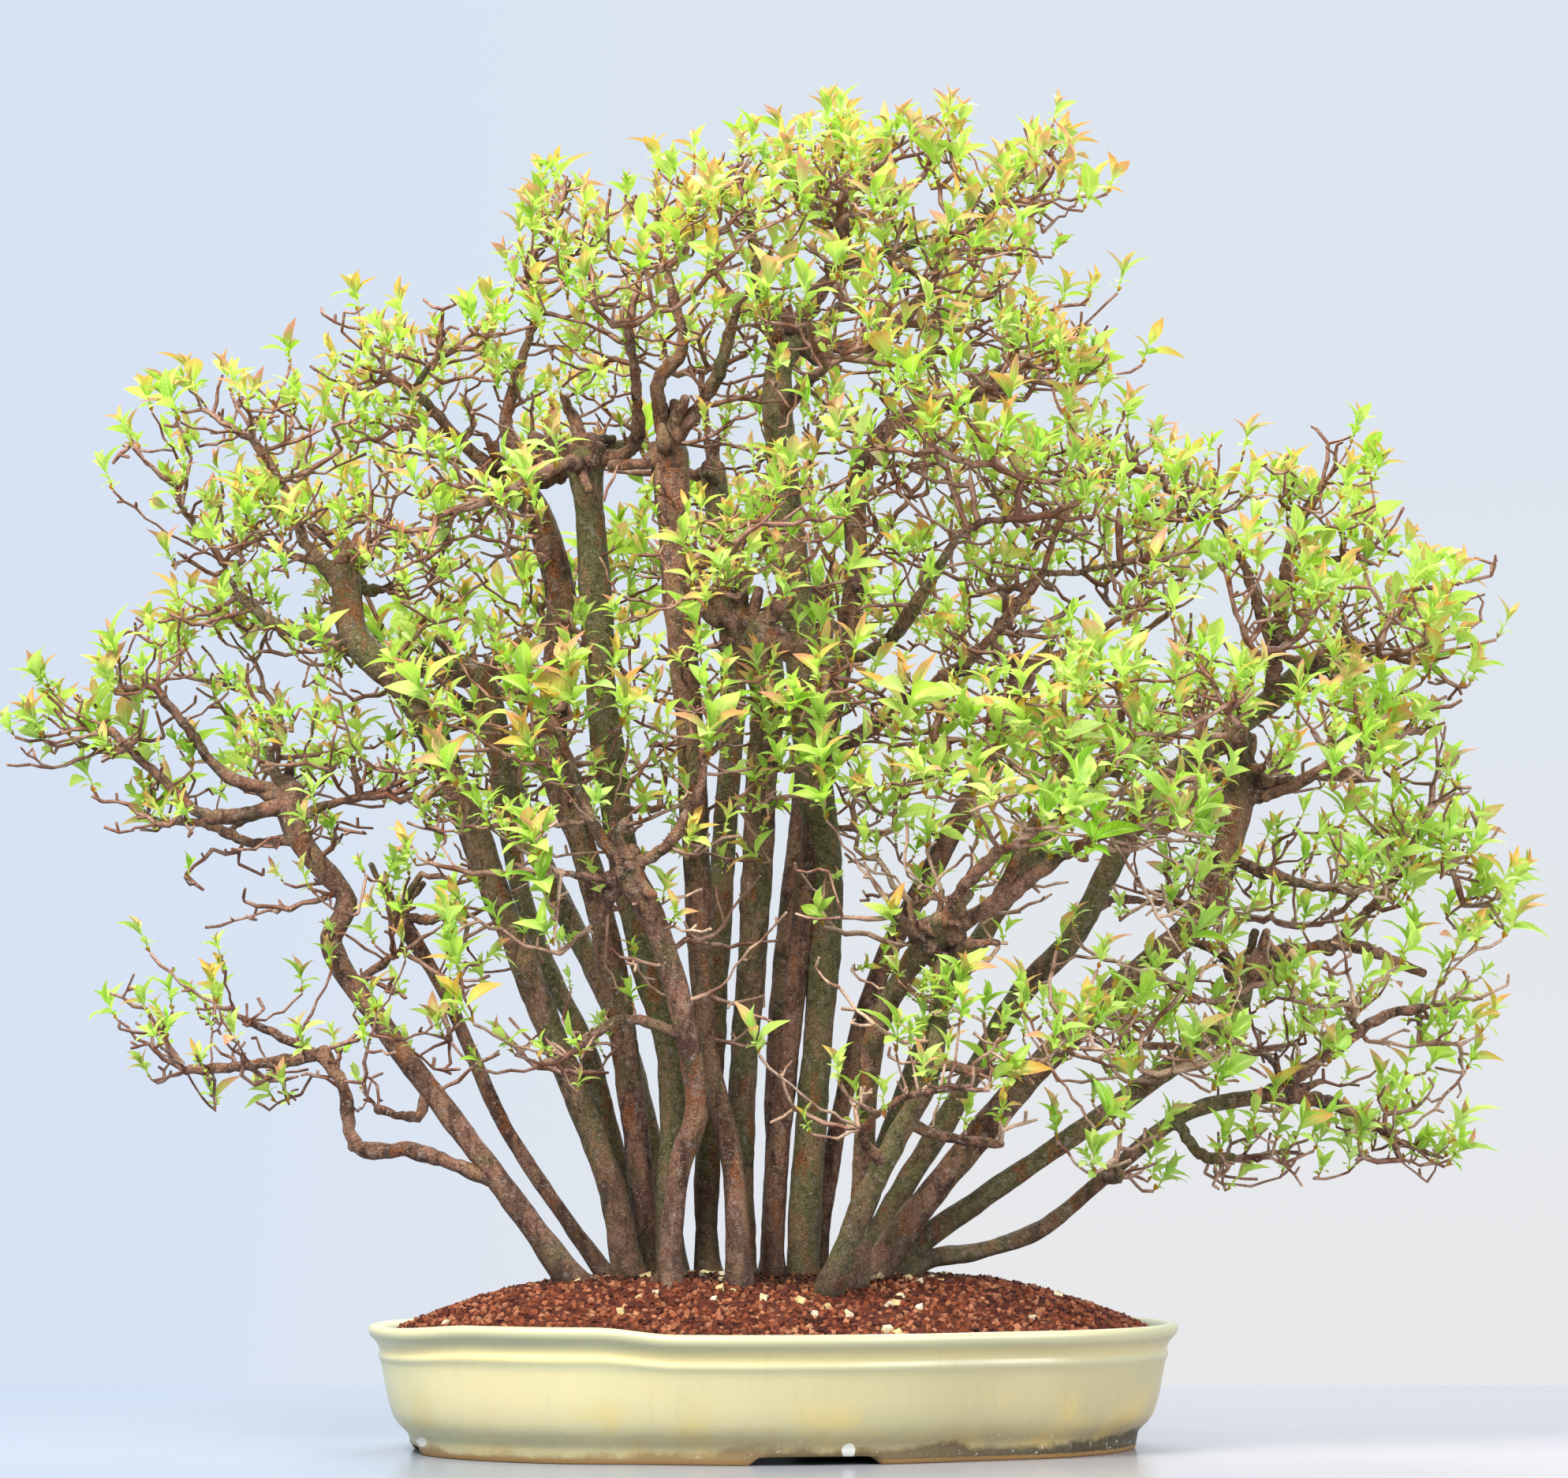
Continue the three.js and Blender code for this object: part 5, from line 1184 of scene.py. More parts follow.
# Long shoots that stand out of the crown or before it. Each is the list of its tufts, from the lowest up:
# the foot as x, depth and height, and the size.
LONG_SHOOTS: dict[str, list[Rows]] = {
    "far_left": [
        [(-488, 0, 506, 0.9)], [(-511, 0, 474, 0.8)], [(-417, -10, 328, 0.9)], [(-440, 0, 284, 0.9)],
        [(-448, 10, 642, 0.9)]],
    "upper_left": [[(-281, -10, 760, 1.0)], [(-391, 0, 706, 1.0)], [(-330, 20, 730, 0.9)]],
    "crown": [
        [(-155, -10, 844, 0.9)], [(-78, 0, 858, 0.9)], [(35, 0, 890, 0.9)], [(127, 10, 886, 0.8)],
        [(189, 0, 892, 0.8)], [(226, 10, 846, 0.9)]],
    "upper_right": [[(232, 0, 776, 0.9)], [(250, 20, 730, 0.9)]],
    "right": [[(389, 0, 672, 0.9)], [(404, 10, 648, 0.9)], [(486, 0, 540, 0.9)], [(316, 0, 664, 0.9)]],
    "low_right": [
        [(490, 0, 372, 0.9)], [(462, 0, 250, 0.9)], [(446, -10, 186, 1.0)], [(300, -10, 170, 0.9)]],
    "front": [
        [(-218, -130, 474, 1.59)], [(-152, -150, 445, 1.1), (-156, -152, 478, 1.46)],
        [(-127, -150, 471, 1.52)], [(-98, -150, 469, 1.22)], [(-49, -140, 523, 1.34)],
        [(-42, -160, 447, 1.4)], [(12, -150, 464, 1.22)],
        [(33, -160, 407, 1.22), (30, -162, 432, 1.22), (28, -160, 458, 1.22)], [(77, -170, 462, 1.77)],
        [(122, -160, 452, 1.34)], [(57, -150, 382, 0.98)], [(136, -160, 370, 1.34)],
        [(130, -165, 401, 1.34)], [(162, -160, 410, 1.22)], [(176, -150, 453, 1.22)],
        [(227, -140, 438, 1.4)], [(227, -150, 397, 1.34)], [(263, -140, 397, 1.46)],
        [(260, -140, 325, 1.1), (266, -142, 358, 1.22), (272, -140, 384, 1.22)],
        [(-141, -160, 328, 0.98), (-146, -160, 358, 1.22), (-148, -158, 384, 1.22)],
        [(-192, -150, 278, 1.1), (-200, -150, 306, 1.22), (-206, -150, 332, 1.1)],
        [(-203, -150, 428, 1.34)], [(-183, -150, 404, 0.98)], [(-10, -160, 258, 0.98)],
        [(77, -160, 259, 1.1)], [(70, -150, 219, 0.92)], [(108, -160, 253, 0.85)], [(23, -140, 208, 0.61)],
        [(-124, -140, 257, 0.98)], [(204, -150, 212, 0.98)], [(147, -150, 236, 0.98)],
        [(229, -140, 283, 1.1)], [(201, -150, 271, 0.98)], [(280, -120, 235, 1.22)],
        [(26, -130, 502, 1.1)]],
}


def inside(outline: Sequence[tuple[float, float]], x: float, z: float) -> bool:
    """Tells whether a point lies inside a closed outline."""
    crossings = 0
    for (x0, z0), (x1, z1) in zip(outline, (*outline[1:], outline[0])):
        if (z0 > z) != (z1 > z) and x < x0 + (x1 - x0) * (z - z0) / (z1 - z0):
            crossings += 1
    return crossings % 2 == 1


@dataclass
class Clump:
    """One clump of foliage: its centre in the pot's frame and its half-extents."""

    at: Points
    half: Points

    @classmethod
    def listed(cls, entry: Sequence[float]) -> "Clump":
        """Makes a clump from x, depth, height and three half-extents."""
        return cls(place(*entry[:3]), np.array(entry[3:], float))


@dataclass
class Wood:
    """The trunks with their named branches, and the boughs that reach the other sprays."""

    seed: int = 20260
    bud_spacing: float = 8
    bud_below: float = 12
    bud_rise_cost: float = 1.5
    bud_from_seat: float = 14
    branch_to_clump: float = 40
    bough_end: float = 0.35
    bough_least: float = 12
    bough_crook: float = 0.22
    bough_base_share: float = 0.7
    bough_base_most: float = 4.2
    bough_tip_radius: float = 2.4
    # Share of the listed radius at several heights.
    fullness: tuple[tuple[float, float], ...] = ((110, 0.82), (250, 0.9), (430, 1.1), (700, 1.15))
    flare: float = 0.2
    flare_height: float = 14
    soil_top: float = 113
    trunks: list[Stem] = field(default_factory=list)
    branches: list[Stem] = field(default_factory=list)
    boughs: list[Stem] = field(default_factory=list)
    stubs: list[Stem] = field(default_factory=list)
    carriers: list[Stem] = field(default_factory=list)

    def grow(self, sprays: Sequence[Sequence[Clump]]) -> None:
        """Works out which wood carries each spray, as the part's source does.

        Args:
            sprays: The clumps of each spray.
        """
        draw = seeded(self.seed)
        self.trunks = [Stem.listed(s) for s in TRUNKS.values()]
        self.branches = [Stem.listed(s) for s in BRANCHES.values()]
        taken: list[Stem] = []
        reaching: list[Stem | None] = []
        for spray in sprays:
            target = spray[0].at - UP * self.bough_end * spray[0].half[2]
            free = [b for b in self.branches if not any(b is t for t in taken)]
            best = min(free, key=lambda b: np.linalg.norm(b.points[-1] - target), default=None)
            if best is not None and np.linalg.norm(best.points[-1] - target) > self.branch_to_clump:
                best = None
            reaching.append(best)
            if best is not None:
                taken.append(best)
        buds, bud_radii = self.buds()
        seats = np.array([b.points[-1] for b in taken])
        apart = np.linalg.norm(buds[:, None] - seats[None], axis=2).min(axis=1) > self.bud_from_seat
        buds, bud_radii = buds[apart], bud_radii[apart]
        self.carriers = []
        for spray, branch in zip(sprays, reaching):
            bough = branch or self.bough(spray[0], buds, bud_radii, draw)
            if branch is None:
                self.boughs.append(bough)
            self.carriers.append(bough)

    def buds(self) -> tuple[Points, Points]:
        """Points every few millimetres along the wood, where a bough may start, and the radius there."""
        points, radii = [], []
        ends = [self.with_cut_end(t) for t in self.trunks]
        for stem in [*ends, *self.branches]:
            for i in range(len(stem.points) - 1):
                a, b = stem.points[i], stem.points[i + 1]
                steps = max(1, math.floor(np.linalg.norm(b - a) / self.bud_spacing + 0.5))
                for k in range(1, steps + 1):
                    points.append(a + (b - a) * k / steps)
                    radii.append(stem.radii[i] + (stem.radii[i + 1] - stem.radii[i]) * k / steps)
        return np.array(points), np.array(radii)

    @staticmethod
    def with_cut_end(stem: Stem) -> Stem:
        """Adds the healed cut that rounds a trunk's end off."""
        ahead, last = unit(stem.points[-1] - stem.points[-2]), stem.radii[-1]
        return Stem(np.vstack([stem.points, stem.points[-1] + ahead * 0.7 * last]),
                    np.append(stem.radii, 0.55 * last))

    def bough(self, clump: Clump, buds: Points, radii: Points, draw: Callable[[], float]) -> Stem:
        """A bough from the nearest wood to the underside of a clump, crooked at its middle.

        Args:
            clump: The clump that the bough reaches.
            buds: Where it may start.
            radii: The wood's radius there.
            draw: The number source.

        Returns:
            The bough.
        """
        target = clump.at - UP * self.bough_end * clump.half[2]
        too_high = np.maximum(0, buds[:, 2] - target[2] + self.bud_below)
        best = int(np.argmin(np.linalg.norm(buds - target, axis=1) + self.bud_rise_cost * too_high))
        start = buds[best]
        way = target - start
        reach = max(self.bough_least, np.linalg.norm(way) - self.bough_end * clump.half[0])
        end = start + unit(way) * reach
        crook = np.array([draw() - 0.5, draw() - 0.5, draw() - 0.5]) * self.bough_crook * reach
        base = min(self.bough_base_share * radii[best], self.bough_base_most)
        tip = self.bough_tip_radius
        middle = (start + end) / 2 + crook
        return Stem(np.array([start, middle, end]), np.array([base, (base + tip) / 2, tip]))

    @staticmethod
    def uneven(stem: Stem, draw: np.random.Generator, amount: float, every: int) -> Stem:
        """Swells and narrows a fine stem by random amounts.

        Args:
            stem: The stem.
            draw: The number source.
            amount: The largest change, as a share of the radius.
            every: How many points lie between two draws.

        Returns:
            The same stem.
        """
        count = len(stem.radii)
        knots = np.arange(0, count + every + 1, every)
        change = np.interp(np.arange(count), knots, draw.uniform(-amount, amount, len(knots)))
        stem.radii = stem.radii * (1 + change)
        return stem

    def knuckle(self, stem: Stem, tone: float, draw: np.random.Generator, trunks: PathMesh) -> None:
        """Adds the gnarled fist at a trunk's end, with the thick stubs that leave it.

        Args:
            stem: The trunk.
            tone: Its bark's tone.
            draw: The number source.
            trunks: Where the fist's lumps are collected.
        """
        ahead, end, last = unit(stem.points[-1] - stem.points[-2]), stem.points[-1], stem.radii[-1]
        for _ in range(11):
            way = unit(draw.normal(size=3))
            at = end + way * last * draw.uniform(0.5, 1.15)
            trunks.knobs.append((at, last * draw.uniform(0.3, 0.68), tone * 0.5))
        for _ in range(int(draw.integers(5, 9))):
            way = unit(ahead * 0.6 + draw.normal(size=3) * 0.8 + UP * 0.35)
            reach = draw.uniform(16, 42)
            bend = draw.normal(size=3) * 3.2
            start = end + way * last * 0.5
            width = min(0.6 * last, 6.6)
            self.stubs.append(Stem(
                np.array([end, start, start + way * reach * 0.5 + bend, start + way * reach + UP * 3]),
                np.array([width * 1.2, width, width * 0.75, width * 0.5])))

    def roots(self, stem: Stem, draw: np.random.Generator) -> list[Stem]:
        """Makes the few short roots that leave a trunk's base and sink into the soil.

        Args:
            stem: The trunk.
            draw: The number source.

        Returns:
            The roots.
        """
        level = self.soil_top
        base = np.array([np.interp(level, stem.points[:3, 2], stem.points[:3, axis]) for axis in range(3)])
        wide = float(np.interp(level, stem.points[:3, 2], stem.radii[:3]))
        out = unit((base - place(-14, -8, base[2])) * [1, 1, 0] + 1e-6)
        made = []
        for _ in range(int(draw.integers(0, 3))):
            way = unit(out + draw.normal(size=3) * [0.8, 0.8, 0])
            steps = np.array([0.2, 0.8, 1.4, 2.2])[:, None] * wide * way
            drop = np.array([5.0, 0.0, -5.0, -11.0])[:, None] * UP
            made.append(Stem(base + steps + drop, wide * np.array([0.6, 0.55, 0.42, 0.26])))
        return made

    def build(self, bark: Material) -> list[Thing]:
        """Builds the trunks, branches and boughs.

        Args:
            bark: The wood's material.

        Returns:
            The finished pieces.
        """
        draw = np.random.default_rng(self.seed)
        tree = stem_tree()
        trunks, limbs, fine = PathMesh(), PathMesh(), PathMesh()
        for stem in self.trunks:
            tone = float(draw.uniform(0.2, 0.75))
            swept = self.uneven(stem.smooth(4.8), draw, 0.06, 6)
            above = np.maximum(0, swept.points[:, 2] - self.soil_top)
            full = np.interp(swept.points[:, 2], *zip(*self.fullness))
            swept.radii = swept.radii * full * (1 + self.flare * np.exp(-above / self.flare_height))
            trunks.add(swept.closed(), tone)
            self.knuckle(stem, tone, draw, trunks)
            for root in self.roots(stem, draw):
                trunks.add(self.uneven(root.smooth(4), draw, 0.15, 2).closed(), tone)
        thick = self.branches + self.stubs
        for stem, paths in [*((s, limbs) for s in thick), *((s, fine) for s in self.boughs)]:
            tone = float(draw.uniform(0.1, 0.55))
            swept = self.uneven(stem.smooth(4.2), draw, 0.2, 3)
            swept.points[1:-1] += draw.normal(scale=0.45, size=(len(swept.points) - 2, 3))
            paths.add(swept.closed(), tone)
            paths.knobs.append((stem.points[0], stem.radii[0] * 1.3, tone))
            for i in range(6, len(swept.points) - 4, 9):
                side = unit(draw.normal(size=3)) * swept.radii[i] * 0.55
                paths.knobs.append((swept.points[i] + side, swept.radii[i] * draw.uniform(0.7, 0.95), tone))
        made = []
        for name, paths, sides, relief, size in (
                ("trunks", trunks, WoodTree.TRUNK, 0.5, 26), ("branches", limbs, WoodTree.BRANCH, 0.6, 14),
                ("boughs", fine, WoodTree.BOUGH, 0.5, 10)):
            piece = run_tree(paths.build(name), tree, {
                "Sides": sides.value, "Relief": relief, "Relief Size": size * MM,
                "Ball Steps": 3 if paths is trunks else 2, "Bark": bark})
            made.append(settle(piece, "bark", "wood"))
        return made

    def seats(self) -> Points:
        """Points on the upper wood where a twig may start."""
        cuts = [(t, len(t.points) * 2 // 3) for t in self.trunks]
        upper = [Stem(t.points[k:], t.radii[k:]) for t, k in cuts]
        stems = [*upper, *self.branches, *self.boughs, *self.stubs]
        return np.vstack([s.smooth(8).points[1:] for s in stems])


# The foliage

@dataclass(frozen=True)
class Blade:
    """A leaf blade's shape, of unit length: its width, fold, arch and fullest place."""

    name: str
    width: float
    fold: float
    arch: float
    fullest: float
    rows: int
    brown: float = 0.0

    def build(self) -> Thing:
        """Builds the blade along +Y with its upper face to +Z, with along, across and brown values."""
        points, along, across, faces = [], [], [], []
        for r in range(self.rows + 1):
            t = r / self.rows
            power = math.log(0.5) / math.log(self.fullest)
            half = self.width / 2 * math.sin(math.pi * min(max(t, 0.02), 0.985) ** power)
            for side in (-1, 0, 1):
                x = side * half
                z = abs(x) * self.fold - self.arch * t * t
                points.append((x, t * (1 - 0.3 * self.arch * t), z))
                along.append(t)
                across.append(side)
        for r in range(self.rows):
            a = 3 * r
            faces += [(a, a + 1, a + 4, a + 3), (a + 1, a + 2, a + 5, a + 4)]
        made = mesh_object(self.name, np.array(points) / MM, faces)
        set_values(made.data, "along", np.array(along))
        set_values(made.data, "across", np.array(across))
        set_values(made.data, "brown", np.full(len(points), self.brown))
        return shade_smooth(made)


class BladeKind(Enum):
    """The blades of a tuft, in the order of the collection that the tree picks them from."""

    SCALE = Blade("blade_0_bud_scale", 0.60, 0.9, 0.05, 0.45, 2, 1.0)
    ROUND = Blade("blade_1_round", 0.56, 0.25, 0.38, 0.55, 3)
    BROAD = Blade("blade_2_broad", 0.43, 0.34, 0.46, 0.50, 5)
    LANCE = Blade("blade_3_lance", 0.33, 0.60, 0.42, 0.47, 4)
    FOLDED = Blade("blade_4_folded", 0.27, 1.50, 0.25, 0.43, 3)
    SHOOT = Blade("blade_5_shoot", 0.10, -1.2, 0.0, 0.30, 2, 0.25)


class TwigSystem:
    """The living twigs of one spray, grown point by point towards the places of its tufts."""

    def __init__(self, draw: random.Random, seat: Points, ahead: Points, radius: float, wood: Points,
                 wood_cost: float = 7) -> None:
        self.draw = draw
        self.at = [seat, seat + ahead * 9, *wood]
        self.parent = [-1, 0] + [-1] * len(wood)
        self.cost = [0.0, 2.0] + [wood_cost] * len(wood)
        self.chains: list[list[int]] = [[0, 1]]
        self.tips: set[int] = set()
        self.first = len(self.at)
        self.seat_radius = radius

    def grow_to(self, target: Points, step: float = 9.0, straying: float = 1.0) -> int:
        """Grows a crooked twig from the best place on the system to a target.

        Args:
            target: Where the twig ends.
            step: Millimetres between its bends.
            straying: How far each bend lies off the straight way.

        Returns:
            The number of the twig's last point.
        """
        at = np.array(self.at)
        above = np.maximum(0, at[:, 2] - target[2] + 4)
        start = int(np.argmin(np.linalg.norm(at - target, axis=1) + np.array(self.cost) + 0.8 * above))
        way = target - at[start]
        reach = float(np.linalg.norm(way))
        steps = max(1, round(reach / step))
        side = unit(np.cross(way, any_way(self.draw)))
        other = unit(np.cross(way, side))
        hang = self.draw.uniform(0.0, 0.11) * reach * float(way[2] > -0.2 * reach)
        chain = [start]
        for k in range(1, steps + 1):
            t = k / steps
            turn = (-1) ** k * straying * self.draw.uniform(0.4, 1.5)
            stray = side * turn + other * self.draw.gauss(0, 0.6)
            point = at[start] + way * t + stray * (k < steps) - UP * hang * math.sin(math.pi * t)
            self.at.append(point)
            self.parent.append(chain[-1])
            self.cost.append(self.cost[chain[-1]] + 0.22 * reach / steps)
            chain.append(len(self.at) - 1)
        self.chains.append(chain)
        return chain[-1]

    def radii(self, tip: float = 0.92, power: float = 2.2) -> list[float]:
        """The twig's radius at each point, from how many tips it feeds."""
        fed = [0.0] * len(self.at)
        for i in range(len(self.at) - 1, -1, -1):
            fed[i] = max(fed[i], tip ** power)
            if self.parent[i] >= 0:
                fed[self.parent[i]] += fed[i]
        return [min(f ** (1 / power), self.seat_radius) for f in fed]

    def stems(self, radii: list[float]) -> Iterable[Stem]:
        """Each twig as a stem, swollen by a random share at each bend."""
        for chain in self.chains:
            widths = np.array([radii[i] * self.draw.uniform(0.85, 1.3) for i in chain])
            widths[0] = min(widths[0], radii[chain[1]] * 1.35)
            yield Stem(np.array([self.at[i] for i in chain]), widths)


@dataclass
class Growth:
    """What one region of the crown has grown so far: its twigs, and the values of its blades."""

    twigs: PathMesh = field(default_factory=PathMesh)
    leaves: dict[str, list] = field(
        default_factory=lambda: {key: [] for key in ("at", "turn", "size", "kind", "tint", "flush")})


@dataclass
class Foliage:
    """The sprays: for each, its twigs and the tufts of young leaves at their tips and on spurs."""

    seed: int = 4711
    tips_per_clump: float = 18.5
    bare_tips: float = 20
    spread: float = 0.45
    tuft_height: float = 30
    tuft_side: float = 12
    eye: tuple[float, float] = (3200, 215)
    usual_half: float = 53
    tuft_room: float = 15
    spur_share: float = 0.22
    leafy_spurs: float = 0.5
    twig_sides: int = 4
    heart: float = 430
    wood_room: float = 9
    # Each region's name and its last spray.
    regions: tuple[tuple[str, int], ...] = (
        ("far_left", 4), ("upper_left", 9), ("crown", 15), ("upper_right", 20), ("right", 27),
        ("low_right", 35), ("front", 44), ("back_left", 49), ("back_right", 57),
    )

    wood_points: Points = field(default_factory=lambda: np.empty((0, 3)))
    wood_seats: Points = field(default_factory=lambda: np.empty((0, 3)))

    def shapes(self) -> bpy.types.Collection:
        """Makes the collection of blades."""
        made = bpy.data.collections.new("blade_shapes")
        for kind in BladeKind:
            blade = kind.value.build()
            made.objects.link(blade)
            bpy.context.scene.collection.objects.unlink(blade)
        return made

    @staticmethod
    def tree() -> Tree:
        """Makes the tree that sweeps the twigs and sets the blades on their points."""
        tree, add, given = new_tree("LeafySpray", [
            ("Twig Sides", "Int", 5), ("Blades", "Collection", None),
            ("Twig Bark", "Material", None), ("Leaf", "Material", None),
        ])
        swept = sweep(add, given["Geometry"], add(Kind.NAMED, "stem_radius"), given["Twig Sides"])
        smooth = add("GeometryNodeSetShadeSmooth", swept)
        barked = add("GeometryNodeSetMaterial", smooth, {"Material": given["Twig Bark"]})
        is_leaf = add(Kind.ABOVE, add(Kind.NAMED, "size"), 0.0)
        seats = add("GeometryNodeSeparateGeometry", given["Geometry"], {"Selection": is_leaf},
                    domain="POINT")
        blades = add("GeometryNodeCollectionInfo", given["Blades"],
                     {"Separate Children": True, "Reset Children": True})
        turn = add("FunctionNodeEulerToRotation", add(Kind.NAMED, "turn", data_type="FLOAT_VECTOR"))
        leaves = add("GeometryNodeInstanceOnPoints", seats,
                     {"Instance": blades, "Pick Instance": True,
                      "Instance Index": add(Kind.NAMED, "kind", data_type="INT"), "Rotation": turn,
                      "Scale": add(Kind.NAMED, "size")})
        real = add("GeometryNodeRealizeInstances", leaves)
        green = add("GeometryNodeSetMaterial", real, {"Material": given["Leaf"]})
        joined = add("GeometryNodeJoinGeometry", [green, barked])
        add("NodeGroupOutput", joined)
        return tree

    def tip_places(self, clump: Clump, taken: list[Points], wood: Points,
                   draw: random.Random) -> list[Points]:
        """Where a clump's tufts stand: spread through it, more of them near its outside and top.

        Args:
            clump: The clump.
            taken: The tufts placed so far, which the new ones join.
            wood: Points along the trunks and branches, to keep clear of.
            draw: The number source.

        Returns:
            The new places.
        """
        mean_half = float(np.prod(clump.half) ** (1 / 3))
        # The tree is leafier high up, and thinner at its left end.
        low = float(np.interp(clump.at[2], (230, 430, 600), (0.52, 0.9, 1.0)))
        low *= float(np.interp(clump.at[0], (-320, -200), (0.72, 1.0)))
        wanted = round(low * self.tips_per_clump * (mean_half / self.usual_half) ** 2.4)
        out = unit(clump.at - [0, 0, self.heart])
        reach = float(np.max(clump.half)) * (1 + self.spread) + self.tuft_room
        near = [t for t in taken if np.linalg.norm(t - clump.at) < reach]
        wood = wood[np.linalg.norm(wood - clump.at, axis=1) < reach]
        places: list[Points] = []
        for _ in range(wanted * 30):
            if len(places) == wanted:
                break
            way = unit(any_way(draw))
            if way[2] < -0.8:
                continue
            # A clump spreads towards its neighbours, and not beyond the crown.
            wide = 1 + self.spread * min(1.0, 0.7 - float(way @ out)) - 0.1
            place_at = clump.at + clump.half * wide * way * (0.3 + 0.7 * draw.random() ** 0.5)
            if not self.in_crown(place_at, draw.uniform(0.8, 1.6)):
                continue
            if near and np.min(np.linalg.norm(np.array(near) - place_at, axis=1)) < self.tuft_room:
                continue
            if len(wood) and np.min(np.linalg.norm(wood - place_at, axis=1)) < self.wood_room:
                continue
            near.append(place_at)
            places.append(place_at)
        taken += places
        return places

    def in_crown(self, at: Points, share: float = 1.0) -> bool:
        """Tells whether a tuft at a point stays within the crown's edge, seen from the tree's front.

        Args:
            at: Where the tuft stands.
            share: The tuft's size, about one.

        Returns:
            True where its foot, sides and top all lie inside.
        """
        turned = place(0, 1, 0)
        depth, x = float(at @ turned), float(at[0] * turned[1] - at[1] * turned[0])
        distance, height = self.eye
        near = distance / (distance + depth)
        foot = height + (at[2] - height) * near
        high, wide = self.tuft_height * share, self.tuft_side * share
        return all(inside(CROWN_EDGE, x * near + dx, foot + dz)
                   for dx, dz in ((0, 0), (0, high), (-wide, high / 2), (wide, high / 2)))

    def tuft(self, at: Points, axis: Points, vigour: float, draw: random.Random, growth: Growth) -> None:
        """Adds one tuft: its bud scales, small round leaves, outer blades and folded inner blades.

        Args:
            at: Where the tuft stands.
            axis: The way it points.
            vigour: Its size, about one.
            draw: The number source.
            growth: Its region, which gets the blades.
        """
        leaves = growth.leaves
        across = unit(np.cross(axis, any_way(draw)))
        other = np.cross(axis, across)
        bearing = draw.uniform(0, math.tau)
        tint = draw.gauss(0.5, 0.22)
        newest = 0.43 + 0.34 * (at[2] - self.heart) / self.heart + draw.gauss(0, 0.2)
        # Kind, how many, lean in degrees, length, and how far up the shoot it grows.
        rows = (
            (BladeKind.SHOOT, 1, (0, 4), (17, 22), (0, 0)),
            (BladeKind.SCALE, 2, (12, 40), (4.5, 7), (0, 1)),
            (BladeKind.ROUND, draw.choice((3, 4, 4, 5)), (28, 76), (7, 13), (1, 13)),
            (BladeKind.BROAD, draw.choice((0, 1, 1, 2)) + (vigour > 1), (26, 52), (20, 31), (7, 13)),
            (BladeKind.LANCE, draw.choice((1, 2, 2, 3)), (10, 34), (18, 29), (10, 17)),
            (BladeKind.FOLDED, draw.choice((1, 2, 2)), (0, 13), (13, 22), (14, 19)),
        )
        for kind, count, leans, lengths, feet in rows:
            for _ in range(count):
                bearing += 2.4 + draw.uniform(-0.35, 0.35)
                lean = math.radians(draw.uniform(*leans))
                out = across * math.cos(bearing) + other * math.sin(bearing)
                way = axis * math.cos(lean) + out * math.sin(lean)
                face = axis * math.sin(lean) - out * math.cos(lean)
                face = unit(face + np.cross(way, face) * draw.gauss(0, 0.25))
                right = unit(np.cross(way, face))
                face = np.cross(right, way)
                leaves["at"].append(at + axis * draw.uniform(*feet) * vigour)
                leaves["turn"].append((math.atan2(way[2], face[2]), math.asin(min(1, max(-1, -right[2]))),
                                       math.atan2(right[1], right[0])))
                leaves["size"].append(draw.uniform(*lengths) * vigour * MM)
                leaves["kind"].append(list(BladeKind).index(kind))
                leaves["tint"].append(tint + draw.gauss(0, 0.2))
                share = {BladeKind.FOLDED: 1.2, BladeKind.LANCE: 0.8, BladeKind.BROAD: 0.4}.get(kind, 0.03)
                flushed = draw.random() < newest * share
                leaves["flush"].append(draw.uniform(0.7, 1.0) if flushed else draw.uniform(0.0, 0.15))

    def spray(self, number: int, clumps: Sequence[Clump], carrier: Stem, taken: list[Points],
              growth: Growth) -> None:
        """Grows one spray.

        Args:
            number: The spray's number, from one.
            clumps: Its clumps.
            carrier: The wood that it is seated on.
            taken: The tufts placed so far.
            growth: Its region, which gets its twigs and blades.
        """
        draw = random.Random(self.seed + number)
        ahead = unit(carrier.points[-1] - carrier.points[-2])
        seat = carrier.points[-1] - ahead * 2
        system = TwigSystem(draw, seat, ahead, carrier.radii[-1], self.seats_near(clumps))
        for clump in clumps:
            places = self.tip_places(clump, taken, self.wood_points, draw)
            for target in sorted(places, key=lambda p: np.linalg.norm(p - system.at[1])):
                system.tips.add(system.grow_to(target))
            for _ in range(round(self.bare_tips * len(places) / self.tips_per_clump)):
                way = unit(any_way(draw))
                system.grow_to(clump.at + clump.half * way * draw.uniform(0.1, 0.75))
        self.dress(system, growth, draw)

    def thicket(self, number: int, zone: Sequence[float], growth: Growth) -> None:
        """Grows the mostly bare, crossing twigs of one zone before the trunks.

        Args:
            number: The zone's number.
            zone: Its centre as x, depth and height, its half-extents, its twigs and its leafy share.
            growth: Its region, which gets its twigs and blades.
        """
        draw = random.Random(self.seed * 2 + number)
        clump = Clump.listed(zone[:6])
        near = self.seats_near([clump])
        seat = near[int(np.argmin(np.linalg.norm(near - clump.at, axis=1)))]
        system = TwigSystem(draw, seat, unit(clump.at - seat), 2.4, near, 3)
        ways = [[draw.uniform(-1, 1) for _ in range(3)] for _ in range(int(zone[6]))]
        targets = [t for t in (clump.at + clump.half * way for way in ways) if self.in_crown(t, 0.4)]
        for target in sorted(targets, key=lambda p: np.min(np.linalg.norm(near - p, axis=1))):
            end = system.grow_to(target)
            if draw.random() < zone[7] and self.in_crown(target):
                system.tips.add(end)
        self.dress(system, growth, draw)

